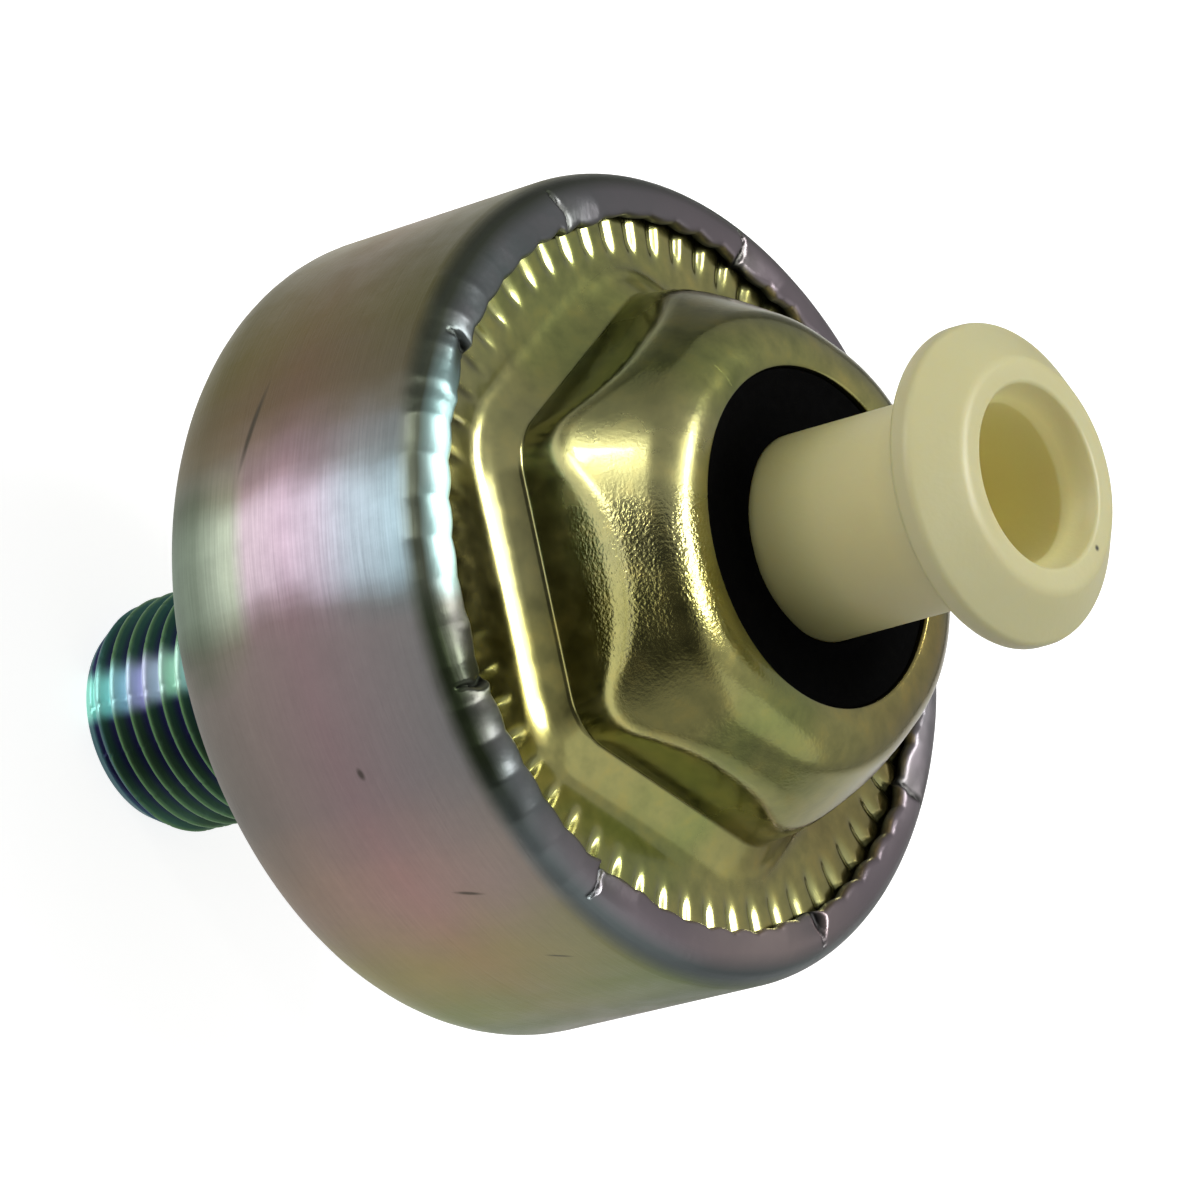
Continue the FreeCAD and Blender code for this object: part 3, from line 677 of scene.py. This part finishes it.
# share of the way from the cover's top to the post's head, and the factor on the ivory, which
# paints shade low on the stem by the casting and a little on the head
POST_PAINTED_SHADE = ((0.0, (0.55, 0.53, 0.42)), (0.4, (0.92, 0.90, 0.80)),
              (0.8, (1.04, 1.0, 0.90)), (1.0, (0.87, 0.86, 0.90)))
# share of fine patches, and the factor on the cover's colour
COVER_MOTTLE = ((0.0, (0.78, 0.80, 0.80)), (0.6, 1.0), (1.0, (1.14, 1.06, 0.96)))
# share of a turn from -X, and how strong an effect is there
COVER_SPECKLED = ((0.0, 0.15), (0.112, 0.15), (0.14, 0.9), (0.19, 0.9), (0.24, 0.3), (1.0, 0.2))
# where a painted highlight lies on the cup's wall
WALL_PAINTED_HIGHLIGHT = stretch(1.0, 0.07, 0.10, 0.155, 0.175)
# where a painted highlight lies on the stud
STUD_PAINTED_HIGHLIGHT = stretch(1.0, 0.075, 0.10, 0.142, 0.165)
# where a paler painted highlight tone lies on the cover's front
COVER_PAINTED_HIGHLIGHT = stretch(0.35, 0.02, 0.06, 0.16, 0.19)
# where the flange's grooves get painted shade instead of painted glints
GROOVES_SHADED = stretch(1.0, 0.014, 0.055, 0.17, 0.22)
CROWN_HAZE = stretch(0.11, 0.04, 0.085, 0.115, 0.14)
LEDGE_HAZE = stretch(0.25, 0.36, 0.39, 0.44, 0.47) + stretch(0.25, 0.85, 0.88, 0.935, 0.965)
# degrees round the axis, height, tilt, length and width in millimetres
MARKS = (
    (-152.2, 6.0, 11.0, 4.9, 0.36), (-99.8, 9.05, -8.0, 0.7, 0.40),
    (-78.2, 10.6, -71.0, 1.6, 0.24), (-62.0, 11.6, -62.0, 1.4, 0.18))
# linear colours of painted shade and shadow, and of scratches, cracks, a speck and the casting's
# darker patches
FOOT_SHADE = (0.04, 0.055, 0.035)
SCRATCH_DARK = (0.03, 0.028, 0.02)
CRACK_AND_SHADOW_BLACK = (0.006, 0.006, 0.006)
GROOVE_SHADE = (0.03, 0.026, 0.008)
SPECK_DARK = (0.02, 0.02, 0.012)
CASTING_DEEP = (0.003, 0.003, 0.003)
# middle of a dark speck on the post's head, in metres
SPECK_PLACE = (0.00416, 0.00086, 0.03343)


def wall_tones(tree, height, moved, clouds, lines):
    """Colour bands round the cup's wall, clearer on its lit stretch, where paler tints paint a
    highlight, and with painted shade at its foot.
    """
    wall = bands(tree, moved, WALL_BANDS)
    level = rising(tree, height, 0.0, WALL_HEIGHT)
    wall = tinted(tree, wall, ramp(tree, level, LEVEL_TINTS))
    wall = tinted(tree, wall, ramp(tree, clouds["Fine"], ((0.0, 0.88), (1.0, 1.10))))
    # painted highlight: paler tints and stronger turning-line streaks on the lit stretch
    lit = ramp(tree, moved, WALL_PAINTED_HIGHLIGHT)
    wall = blend(tree, lit, wall, tinted(tree, wall, ramp(tree, level, WALL_HIGHLIGHT_TINTS)))
    streaky = ramp(tree, lines["Height"], ((0.3, 0.86), (0.7, 1.12)))
    wall = blend(tree, scaled(tree, lit, 0.7, 0.3), wall, tinted(tree, wall, streaky))
    # painted shade at the foot, strongest on the lit stretch, where it holds back the highlight
    foot = times(tree, rising(tree, height, 4.8333, 3.1667), scaled(tree, lit, 0.50, 0.14))
    return blend(tree, foot, wall, FOOT_SHADE)


def lip_tones(tree, height, moved, clouds):
    """Slate and plum on the lip's top, and darker bands on its outer round."""
    lip = bands(tree, moved, LIP_BANDS)
    lip = blend(tree, times(tree, clouds["Fine"], 0.30), lip, "lip_plum")
    on_top = rising(tree, height, 15.0, 15.4545)
    return blend(tree, on_top, bands(tree, moved, ROUND_BANDS), lip)


def stud_tones(tree, height, moved, clouds):
    """Green and teal flanks, violet roots and pale crests, and a painted highlight on a bright
    stretch.
    """
    worn = point_value(tree, "worn")
    flank = blend(tree, clouds["Broad"], "stud_green", "stud_teal")
    flank = blend(tree, rising(tree, height, -12.25, -13.5), flank, "stud_teal")
    flank = blend(tree, rising(tree, worn, 0.6, 0.2), flank, "stud_violet")
    stud = blend(tree, rising(tree, worn, 0.8, 1.0), flank, "stud_crest")
    climb = rising(tree, height, -STUD_HEIGHT, 0.0)
    highlight_tint = ramp(tree, climb, [(z / STUD_HEIGHT + 1.0, shade) for z, shade in STUD_HIGHLIGHT_TINTS])
    # painted highlight on the thread's bright stretch
    painted_highlight = times(tree, ramp(tree, moved, STUD_PAINTED_HIGHLIGHT, "EASE"), 0.85)
    return blend(tree, painted_highlight, stud, highlight_tint)


def cup_finish():
    """Iridescent passivated zinc: pink, tan and olive round the wall, slate on the lip, dark
    green and violet on the thread, with painted highlights on the lit stretches of wall, lip
    and thread and painted shadow under the lip's edge. Its gloss is drawn out along the axis."""
    material, tree, into = new_material(
        "zinc_iridescent", 0.4, 1.0, {"Anisotropic": 0.8, "Anisotropic Rotation": 0.25})
    height, share = place_on_part(tree)
    clouds = group(tree, "Clouds", Scale=90.0)
    streaks = group(tree, "Streaks", Along=60.0, Across=420.0)
    lines = group(tree, "Turning lines", Fineness=9000.0)
    wander = maths(tree, "ADD", scaled(tree, clouds["Broad"], 0.022, -0.011),
                   scaled(tree, streaks["Share"], 0.02, -0.01))
    moved = maths(tree, "FRACT", maths(tree, "ADD", share, wander))
    on_lip = rising(tree, height, 14.0714, 14.7857)
    cup = blend(tree, on_lip, wall_tones(tree, height, moved, clouds, lines),
                lip_tones(tree, height, moved, clouds))
    below = maths(tree, "LESS_THAN", height, -0.2)
    tone = blend(tree, below, cup, stud_tones(tree, height, moved, clouds))
    for scratch_place in MARKS:
        scratch = mark(tree, share, height, *scratch_place)
        scratch = maths(tree, "MULTIPLY", scratch, 1.6, clamp=True)
        tone = blend(tree, times(tree, scratch, 0.75), tone, SCRATCH_DARK)
    # the crack layer holds the lip's cracks and painted shadow on the lip's inner face and
    # underside
    crack = point_value(tree, "crack")
    tone = blend(tree, times(tree, crack, 0.97), tone, CRACK_AND_SHADOW_BLACK)
    tree.links.new(tone, into["Base Color"])
    add_grain(tree, into, 2500.0, 0.000008, bump(tree, lines["Height"], 0.000010))
    rough = scaled(tree, clouds["Fine"], 0.08, 0.40)
    rough = maths(tree, "SUBTRACT", rough, times(tree, on_lip, 0.10))
    rough = maths(tree, "ADD", rough, times(tree, crack, 0.4), clamp=True)
    tree.links.new(rough, into["Roughness"])
    return material


def cover_finish():
    """Glossy olive-gold passivated zinc on the drawn cover, speckled where the sheet was
    stretched most, with a paler painted highlight tone on its front, painted glints in the
    flange's grooves and painted shade in the grooves on the shaded stretch."""
    material, tree, into = new_material(
        "zinc_olive_gold", 0.18, 1.0, {"Coat Weight": 0.4, "Coat Roughness": 0.06})
    height, share = place_on_part(tree)
    clouds = group(tree, "Clouds", Scale=140.0, Shift=3.1)
    wander = scaled(tree, clouds["Broad"], 0.12, -0.06)
    tone = bands(tree, maths(tree, "FRACT", maths(tree, "ADD", share, wander)), COVER_BANDS)
    tone = tinted(tree, tone, ramp(tree, clouds["Fine"], COVER_MOTTLE))
    # painted highlight: a paler cream tone on the cover's front
    tone = blend(tree, ramp(tree, share, COVER_PAINTED_HIGHLIGHT), tone, "cover_cream")
    # painted glints in the flange's grooves, and painted shade in them on the shaded stretch
    pressed = blend(tree, ramp(tree, share, GROOVES_SHADED), "cover_pale", GROOVE_SHADE)
    tone = blend(tree, times(tree, point_value(tree, "groove"), 0.75), tone, pressed)
    tree.links.new(tone, into["Base Color"])
    drawn_up = rising(tree, height, 17.2, 18.2)
    peel = times(tree, group(tree, "Grain", Scale=6800.0)["Height"],
                 ramp(tree, share, COVER_SPECKLED))
    tree.links.new(bump(tree, times(tree, peel, drawn_up), 0.000035), into["Normal"])
    on_ledge = rising(tree, height, 14.84, 15.04)
    ledge_haze = times(tree, ramp(tree, share, LEDGE_HAZE), on_ledge)
    haze = blend(tree, drawn_up, ledge_haze, ramp(tree, share, CROWN_HAZE))
    rough = scaled(tree, clouds["Fine"], 0.10, 0.15)
    tree.links.new(maths(tree, "ADD", rough, haze), into["Roughness"])
    return material


def post_finish():
    """Moulded ivory plastic, darker down the stem and a little on the head in painted shade, a
    lighter tan painted into the socket as painted light, one speck on the head.
    """
    material, tree, into = new_material("ivory_moulded", 0.42, 0.0, {
        "Subsurface Weight": 0.5, "Subsurface Radius": (1.0, 0.7, 0.35),
        "Subsurface Scale": 0.0022})
    height, _ = place_on_part(tree)
    clouds = group(tree, "Clouds", Scale=120.0, Shift=7.7)
    tone = blend(tree, times(tree, clouds["Broad"], 0.4), "ivory", "ivory_deep")
    # painted shade down the stem and on the head
    tone = tinted(tree, tone, ramp(tree, rising(tree, height, 22.0, 30.0), POST_PAINTED_SHADE))
    place = place_of(tree)
    reach = vector_maths(
        tree, "LENGTH", vector_maths(tree, "MULTIPLY", place, (1000.0, 1000.0, 0.0)))
    # painted light: a lighter tan inside the socket
    tone = blend(tree, rising(tree, reach, 3.84, 3.44), tone, "socket_tan")
    away = vector_maths(tree, "DISTANCE", place, SPECK_PLACE)
    tone = blend(tree, rising(tree, away, 0.00016667, 0.00005556), tone, SPECK_DARK)
    tree.links.new(tone, into["Base Color"])
    add_grain(tree, into, 3500.0, 0.000008)
    return material


def casting_finish():
    """Matt black casting."""
    material, tree, into = new_material("black_casting", 0.85, 0.0, {"Specular IOR Level": 0.03})
    clouds = group(tree, "Clouds", Scale=300.0, Shift=1.3)
    tone = blend(tree, times(tree, clouds["Fine"], 0.5), "casting", CASTING_DEEP)
    tree.links.new(tone, into["Base Color"])
    add_grain(tree, into, 1800.0, 0.00003)
    return material


def plain_finish(name, tone, dark, roughness, metallic, scale, grain_scale, depth):
    """A finish for a hidden piece: two tones in patches over a fine grain."""
    material, tree, into = new_material(name, roughness, metallic)
    clouds = group(tree, "Clouds", Scale=scale)
    tree.links.new(blend(tree, clouds["Fine"], tone, dark), into["Base Color"])
    add_grain(tree, into, grain_scale, depth)
    return material


# Operators

class SENSOR_OT_cup(bpy.types.Operator):
    """Build the threaded cup with its rolled and staked lip."""
    bl_idname = "sensor.build_cup"
    bl_label = "Cup and stud"

    def execute(self, context):
        stud, cup = context.scene.sensor_stud, context.scene.sensor_cup
        coarse, ratio = 140, 6
        fine = coarse * ratio
        thread, worn = stud_rows(stud, coarse, 14, -0.45 * MM)
        angles = angles_round(fine)
        neck = stud.end_radius + stud.taper * stud.length
        uneven = 1 + 0.25 * ripple(angles, [(7, 1, 0), (11, 1, 2)])
        edge = cup.lip_edge + 0.05 * MM - 0.13 * MM * np.abs(np.cos(30 * angles)) * uneven
        edge += 0.28 * MM * smooth((np.cos(angles - NARROW_LIP) - 0.45) / 0.4)
        at_tab = np.cos(cup.stakes * (angles - STAKE_ANGLE))
        edge -= 0.16 * MM * smooth((at_tab - 0.55) / 0.25)
        top = cup.height - 0.02 * MM
        under = cup.height - cup.lip_thickness
        floor = CHAMBER_FLOOR * MM
        outline = rounded_outline([
            (neck, -0.35 * MM, 0, 1, 1),
            (neck, 0.0, 0.3 * MM, 3, 3),
            (cup.radius - cup.draft, 0.0, cup.foot_round, 14, 10),
            (cup.radius, top, cup.lip_round, 26, 3),
            (edge, top, 0.28 * MM, 6, 2),
            (edge, under + 0.16 * MM, SHARP, 1, 1),
            (BORE * MM, under, SHARP, 1, 1),
            *square_corners(CUP_INSIDE),
            (2.0 * MM, floor, 0, 1, 1)], fine)
        radius = outline[..., 0]
        pressed, crack = stake_marks(cup, angles, radius)
        on_lip = smooth((outline[..., 1] - under - 0.1 * MM) / (0.3 * MM))
        outline[..., 1] -= on_lip * (pressed + 0.35 * MM * crack)
        wavy = ripple(angles, [(5, 0.03, 1), (9, 0.02, 4), (23, 0.012, 0)]) * MM
        outline[..., 1] += on_lip * np.minimum(wavy, 0)
        body = turned(outline, angles)
        poles = [[0, 0, -stud.length], [0, 0, floor]]
        points = np.concatenate([poles, thread.reshape(-1, 3), body.reshape(-1, 3)])
        first_body = 2 + thread.shape[0] * coarse
        last = first_body + (body.shape[0] - 1) * fine
        faces = [
            fan(0, 2, coarse, up=False),
            helix_band(2, thread.shape[0], coarse),
            stitch(first_body - coarse, coarse, first_body, ratio),
            band(first_body, body.shape[0], fine),
            fan(1, last, fine, up=True)]
        # painted shadow on the lip's inner face and underside, kept in the crack layer
        hidden = (radius < cup.lip_edge + 0.1 * MM) & (outline[..., 1] > 10 * MM)
        shadow = np.where(hidden, smooth((top - 0.34 * MM - outline[..., 1]) / (0.2 * MM)), 0)
        layers = [
            ("worn", np.concatenate([[0.5, 0.5], worn.ravel(), np.zeros(body[..., 0].size)])),
            ("crack", np.concatenate([np.zeros(2 + worn.size),
                                      np.maximum(crack * on_lip, shadow).ravel()]))]
        new_piece("cup_and_stud", points, faces, "threaded_housing", "housing_zinc",
                  cup_finish(), layers)
        return {"FINISHED"}


class SENSOR_OT_cover(bpy.types.Operator):
    """Build the drawn hexagonal cover with its knurled flange."""
    bl_idname = "sensor.build_cover"
    bl_label = "Hexagonal cover"

    def execute(self, context):
        cover = context.scene.sensor_cover
        columns = 840
        angles = angles_round(columns)
        sheet, rise = cover.sheet, math.tan(cover.slope)
        wall = hexagon_reach(angles, cover.half_flats, cover.corner_round)
        wall_top = hexagon_reach(angles, cover.half_flats, cover.corner_top_round)
        crown = hexagon_reach(angles, cover.crown, cover.crown_corner)
        edge_height = cover.height - cover.dish
        foot = hexagon_reach(angles, cover.ledge_half_flats, cover.ledge_corner_round)
        inner = hexagon_reach(angles, cover.half_flats - sheet, cover.corner_round - sheet)
        ledge_middle = foot + (wall - foot) * 0.45
        inner_foot = hexagon_reach(
            angles, cover.ledge_half_flats - sheet, cover.ledge_corner_round - sheet)
        inner_flat = cover.crown - sheet * math.tan(cover.slope / 2)
        brow = cover.flange_top + cover.ledge_rise
        outline = rounded_outline([
            (cover.flange - 0.5 * MM, cover.flange_top - sheet, 0, 1, 1),
            (cover.flange, cover.flange_top - sheet, 0.1 * MM, 2, 2),
            (cover.flange, cover.flange_top, 0.1 * MM, 2, 24),
            (foot, cover.flange_top, 1.6 * MM, 6, 1),
            (ledge_middle, cover.flange_top + 0.36 * cover.ledge_rise, 2.2 * MM, 6, 1),
            (wall, brow, 0.35 * MM, 6, 5),
            (wall_top, cover.height - (wall_top - crown) * rise, cover.shoulder_round, 14, 5),
            (crown, cover.height, cover.crown_round, 16, 2),
            (cover.opening, edge_height, 0.15 * MM, 4, 2),
            (cover.opening, edge_height - sheet, 0.1 * MM, 2, 1),
            (inner_flat, cover.height - sheet, 0.4 * MM, 2, 1),
            (inner, cover.height - sheet - (inner - inner_flat) * rise, 0.3 * MM, 2, 1),
            (inner, brow - sheet, 0.3 * MM, 2, 1),
            (inner_foot, cover.flange_top - sheet, 0.3 * MM, 2, 1),
            (cover.flange - 0.6 * MM, cover.flange_top - sheet, 0, 1, 1)], columns)
        radius, height = outline[..., 0], outline[..., 1]
        along = ((angles * cover.knurls / TURN + 0.5) % 1.0 - 0.5) * TURN / cover.knurls
        across = along[None] * radius
        started = smooth((radius - cover.knurl_start) / (1.25 * MM))
        groove = np.exp(-(across / cover.knurl_half) ** 2) * started
        on_flange = np.abs(height - cover.flange_top) < 0.02 * MM
        faint = 0.75 * smooth((np.cos(angles - FAINT_KNURLS) - 0.82) / 0.14)
        outline[..., 1] -= np.where(on_flange, cover.knurl_depth * groove * (1 - faint), 0)
        ring_piece("hexagon_cover", outline, angles, "hex_cover", "cover_zinc",
                   cover_finish(), [("groove", np.where(on_flange, groove, 0))])
        return {"FINISHED"}


class SENSOR_OT_post(bpy.types.Operator):
    """Build the moulded connector post and the black casting round it."""
    bl_idname = "sensor.build_post"
    bl_label = "Post and casting"

    def execute(self, context):
        post, cover = context.scene.sensor_post, context.scene.sensor_cover
        columns = 192
        angles = angles_round(columns)
        foot = POST_FOOT * MM
        outline = rounded_outline([
            (post.pin_hole + 1.0 * MM, foot, 0, 1, 2),
            *square_corners(POST_BASE),
            (post.stem, 15.0 * MM, SHARP, 1, 12),
            (post.stem, post.head_under, 0.35 * MM, 5, 4),
            (post.head, post.rim_low, 0.4 * MM, 6, 2),
            (post.head, post.rim_high, 0.5 * MM, 6, 4),
            (post.front, post.top, 0.8 * MM, 8, 2),
            (post.mouth, post.top, 0.22 * MM, 6, 3),
            (post.socket, post.top - 1.5 * MM, 0.6 * MM, 4, 6),
            (post.socket, post.socket_floor, 0.2 * MM, 3, 2),
            (post.pin_hole, post.socket_floor, SHARP, 1, 2),
            (post.pin_hole, foot, SHARP, 1, 1),
            (post.pin_hole + 0.9 * MM, foot, 0, 1, 1)], columns)
        ring_piece("connector_post", outline, angles, "terminal_post", "post_plastic",
                   post_finish())

        level = cover.height - cover.dish - post.casting_drop
        inner, outer = post.stem + 0.02 * MM, cover.opening - 0.02 * MM
        low = 15.02 * MM
        columns = 240
        angles = angles_round(columns)
        outline = rounded_outline([
            (inner + 1.9 * MM, CASTING_FOOT * MM, 0, 1, 2),
            *square_corners(CASTING_SIDE),
            (outer, 20.9 * MM, SHARP, 1, 1),
            (outer, level + 0.03 * MM, 0.08 * MM, 3, 3),
            (outer - 0.5 * MM, level - 0.12 * MM, 0.5 * MM, 4, 12),
            (inner + 0.5 * MM, level - 0.12 * MM, 0.5 * MM, 4, 3),
            (inner, level + 0.12 * MM, 0.08 * MM, 2, 2),
            (inner, low, SHARP, 1, 1),
            (inner + 1.85 * MM, low, SHARP, 1, 1),
            (inner + 1.85 * MM, 13.7 * MM, 0, 1, 1)], columns)
        swell = ripple(angles, [(2, 0.02, 0.5), (5, 0.015, 2), (9, 0.01, 1)]) * MM
        on_top = smooth((outline[..., 1] - level + 0.5 * MM) / (0.3 * MM))
        outline[..., 1] += on_top * swell
        ring_piece("black_casting", outline, angles, "potting_seal", "potting",
                   casting_finish())
        return {"FINISHED"}


class SENSOR_OT_inside(bpy.types.Operator):
    """Give each hidden piece its finish."""
    bl_idname = "sensor.finish_inside"
    bl_label = "Hidden pieces"

    def execute(self, context):
        for name, (pieces, *settings) in HIDDEN_FINISHES.items():
            material = plain_finish(name, *settings)
            for piece in pieces:
                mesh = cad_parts[piece].data
                mesh.materials.clear()
                mesh.materials.append(material)
        return {"FINISHED"}


# a finish: its pieces, two tones, roughness, metallic, scale of its patches, and the scale of
# its grain with its depth in metres
HIDDEN_FINISHES = {
    "spring_steel": (("resonator_plate", "spacer_ring"), (0.50, 0.50, 0.51),
                     (0.36, 0.36, 0.38), 0.32, 1.0, 200.0, 5000.0, 0.000006),
    "tinned_wire": (("resistor_live_lead", "resistor_ground_lead"), (0.68, 0.68, 0.67),
                    (0.50, 0.50, 0.50), 0.25, 1.0, 900.0, 9000.0, 0.000004),
    "solder": (("live_solder_joint", "ground_solder_joint"), (0.62, 0.62, 0.61),
               (0.45, 0.45, 0.46), 0.22, 1.0, 1200.0, 6000.0, 0.000012),
    "rubber_ring": (("cover_seal_ring",), (0.030, 0.030, 0.032),
                    (0.015, 0.015, 0.016), 0.6, 0.0, 400.0, 4000.0, 0.00001),
    "turned_brass": (("terminal_pin",), (0.78, 0.58, 0.26),
                     (0.62, 0.44, 0.18), 0.24, 1.0, 500.0, 7000.0, 0.000006),
    "bronze_wire": (("contact_spring",), (0.66, 0.42, 0.24),
                    (0.50, 0.30, 0.16), 0.3, 1.0, 900.0, 9000.0, 0.000004),
    "silvered_ceramic": (("piezo_disc",), (0.72, 0.70, 0.66),
                         (0.60, 0.58, 0.54), 0.45, 0.6, 300.0, 6000.0, 0.000008),
    "resistor_coating": (("load_resistor",), (0.28, 0.42, 0.46),
                         (0.20, 0.32, 0.36), 0.35, 0.0, 700.0, 5000.0, 0.000006)}


def floor_finish():
    """White to the camera. In gloss it is a pale card under and before the part, which
    ends softly CARD_END metres from its middle, and it is dark towards BACK_SIDE."""
    material, tree, into = new_material("floor_white", 0.9, 0.0, {"Specular IOR Level": 0.0})
    clouds = group(tree, "Clouds", Scale=3.0)
    tree.links.new(blend(tree, clouds["Broad"], 0.50, 0.52), into["Base Color"])
    place = place_of(tree)
    path = node(tree, "ShaderNodeLightPath").outputs
    away = vector_maths(tree, "DISTANCE", place, CARD_MIDDLE)
    card = times(tree, rising(tree, away, CARD_END, CARD_FULL), 0.80)
    glossy = times(tree, path["Is Glossy Ray"], card)
    seen = maths(tree, "ADD", path["Is Camera Ray"], path["Is Transmission Ray"], clamp=True)
    glow = node(tree, "ShaderNodeEmission", {
        "Color": paint(1.0), "Strength": scaled(tree, seen, 0.82, glossy)})
    shader = tree.nodes["Principled BSDF"]
    total = node(tree, "ShaderNodeAddShader", {0: shader.outputs[0], 1: glow.outputs[0]})
    behind = rising(tree, vector_maths(tree, "DOT_PRODUCT", place, BACK_SIDE), 0.05, 0.10)
    dim = times(tree, path["Is Glossy Ray"], times(tree, behind, 0.8))
    dark = node(tree, "ShaderNodeEmission", {"Color": paint(0.05)})
    whole = node(tree, "ShaderNodeMixShader", {
        0: dim, 1: total.outputs[0], 2: dark.outputs[0]})
    tree.links.new(whole.outputs[0], tree.nodes["Material Output"].inputs["Surface"])
    return material


def set_world(scene):
    """A plain soft grey surround, lighter overhead and dark on one side."""
    world = scene.world or bpy.data.worlds.new("studio")
    scene.world = world
    world.use_nodes = True
    tree = world.node_tree
    place = node(tree, "ShaderNodeTexCoord").outputs["Generated"]
    parts = node(tree, "ShaderNodeSeparateXYZ", {0: place})
    tone = ramp(tree, parts.outputs["Z"], ((0.0, 0.30), (1.0, 0.55)))
    near = rising(tree, vector_maths(tree, "DOT_PRODUCT", place, DARK_SIDE), 0.76667, 0.9)
    background = tree.nodes["Background"].inputs
    tree.links.new(blend(tree, near, tone, 0.05), background["Color"])
    background["Strength"].default_value = 1.0


def add_light(scene, name, azimuth, elevation, far, wide, tall, radiance, shade):
    """A soft box turned to the part. Its power is its radiance times pi and its area."""
    data = bpy.data.lights.new(name, "AREA")
    data.shape = "RECTANGLE"
    data.size, data.size_y = wide, tall
    data.energy = radiance * math.pi * wide * tall
    data.color = shade
    lamp = bpy.data.objects.new(name, data)
    turn, lift = math.radians(azimuth), math.radians(elevation)
    out = Vector((math.cos(turn) * math.cos(lift), math.sin(turn) * math.cos(lift),
                  math.sin(lift)))
    lamp.location = AIM * MM + out * far
    lamp.rotation_euler = out.to_track_quat("Z", "Y").to_euler()
    scene.collection.objects.link(lamp)


class SENSOR_OT_stage(bpy.types.Operator):
    """Set up the floor, the soft lights, the world and the camera."""
    bl_idname = "sensor.build_stage"
    bl_label = "Studio"

    def execute(self, context):
        scene = context.scene
        level = -scene.sensor_stud.length
        half = FLOOR_HALF
        mesh = bpy.data.meshes.new("studio_floor")
        mesh.from_pydata([(-half, -half, level), (half, -half, level),
                          (half, half, level), (-half, half, level)], [], [(0, 1, 2, 3)])
        mesh.materials.append(floor_finish())
        floor = bpy.data.objects.new("studio_floor", mesh)
        scene.collection.objects.link(floor)
        set_world(scene)
        for lamp in LIGHTS:
            add_light(scene, *lamp)
        data = bpy.data.cameras.new("photo_camera")
        data.lens, data.sensor_width = 360.0, 36.0
        data.clip_start, data.clip_end = 0.01, 20.0
        camera = bpy.data.objects.new("photo_camera", data)
        scene.collection.objects.link(camera)
        right, up, forward = (Vector(v).normalized() for v in CAMERA_AXES)
        matrix = Matrix((right, up, -forward)).transposed().to_4x4()
        matrix.translation = Vector(CAMERA_PLACE) * MM
        camera.matrix_world = matrix
        scene.camera = camera
        scene.view_settings.view_transform = "Standard"
        return {"FINISHED"}


# lamps' aim and camera's place in millimetres, the card and the floor in metres
AIM = Vector((0.0, 0.0, 12.0))
DARK_SIDE = (-0.217, -0.810, 0.545)
BACK_SIDE = (-0.616, 0.788, 0.0)
CARD_MIDDLE = (-0.059, -0.081, -0.014)
CARD_FULL = 0.13
CARD_END = 0.15
FLOOR_HALF = 4.0
CAMERA_PLACE = (-161.67, -358.31, 309.10)
CAMERA_AXES = ((0.4845, 0.4206, 0.7671), (-0.8111, 0.5444, 0.2138), (0.3277, 0.7258, -0.6049))
# name, azimuth, elevation, distance, width, height, radiance, colour
LIGHTS = (
    ("low_left", -152.0, 3.0, 0.45, 0.18, 0.07, 13.5, (1.0, 0.99, 0.98)),
    ("left", -169.0, 11.5, 0.45, 0.06, 0.035, 40.0, (1.0, 0.99, 0.98)),
    ("front_low", -119.0, 1.0, 0.60, 0.42, 0.17, 1.3, (1.0, 1.0, 1.0)),
    ("overhead", 96.0, 79.0, 0.50, 0.12, 0.40, 16.0, (1.0, 1.0, 1.0)),
    ("fill_right", -20.0, 35.0, 0.55, 0.45, 0.45, 0.40, (0.96, 0.99, 1.0)),
)


class SENSOR_PT_panel(bpy.types.Panel):
    """The sensor's sizes, colours and build steps."""
    bl_idname = "SENSOR_PT_panel"
    bl_label = "Knock sensor"
    bl_space_type = "VIEW_3D"
    bl_region_type = "UI"
    bl_category = "Sensor"

    def draw(self, context):
        for holder, operators in PANEL_ROWS:
            box = self.layout.box()
            settings = getattr(context.scene, holder)
            for name in settings.bl_rna.properties.keys():
                if name not in ("rna_type", "name"):
                    box.prop(settings, name)
            for operator in operators:
                box.operator(operator)


PANEL_ROWS = (
    ("sensor_stud", ()),
    ("sensor_cup", ("sensor.build_cup",)),
    ("sensor_cover", ("sensor.build_cover",)),
    ("sensor_post", ("sensor.build_post",)),
    ("sensor_colours", ("sensor.finish_inside", "sensor.build_stage")),
)
HOLDERS = {
    "sensor_stud": SensorStud, "sensor_cup": SensorCup, "sensor_cover": SensorCover,
    "sensor_post": SensorPost, "sensor_colours": SensorColours}
CLASSES = (*HOLDERS.values(), SENSOR_OT_cup, SENSOR_OT_cover, SENSOR_OT_post,
           SENSOR_OT_inside, SENSOR_OT_stage, SENSOR_PT_panel)


def register():
    for each in CLASSES:
        bpy.utils.register_class(each)
    for name, kind in HOLDERS.items():
        setattr(bpy.types.Scene, name, PointerProperty(type=kind))


def unregister():
    for name in HOLDERS:
        delattr(bpy.types.Scene, name)
    for each in reversed(CLASSES):
        bpy.utils.unregister_class(each)


def main():
    """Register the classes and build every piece."""
    register()
    bpy.ops.sensor.build_cup()
    bpy.ops.sensor.build_cover()
    bpy.ops.sensor.build_post()
    bpy.ops.sensor.finish_inside()
    bpy.ops.sensor.build_stage()


if __name__ == "__main__":
    main()
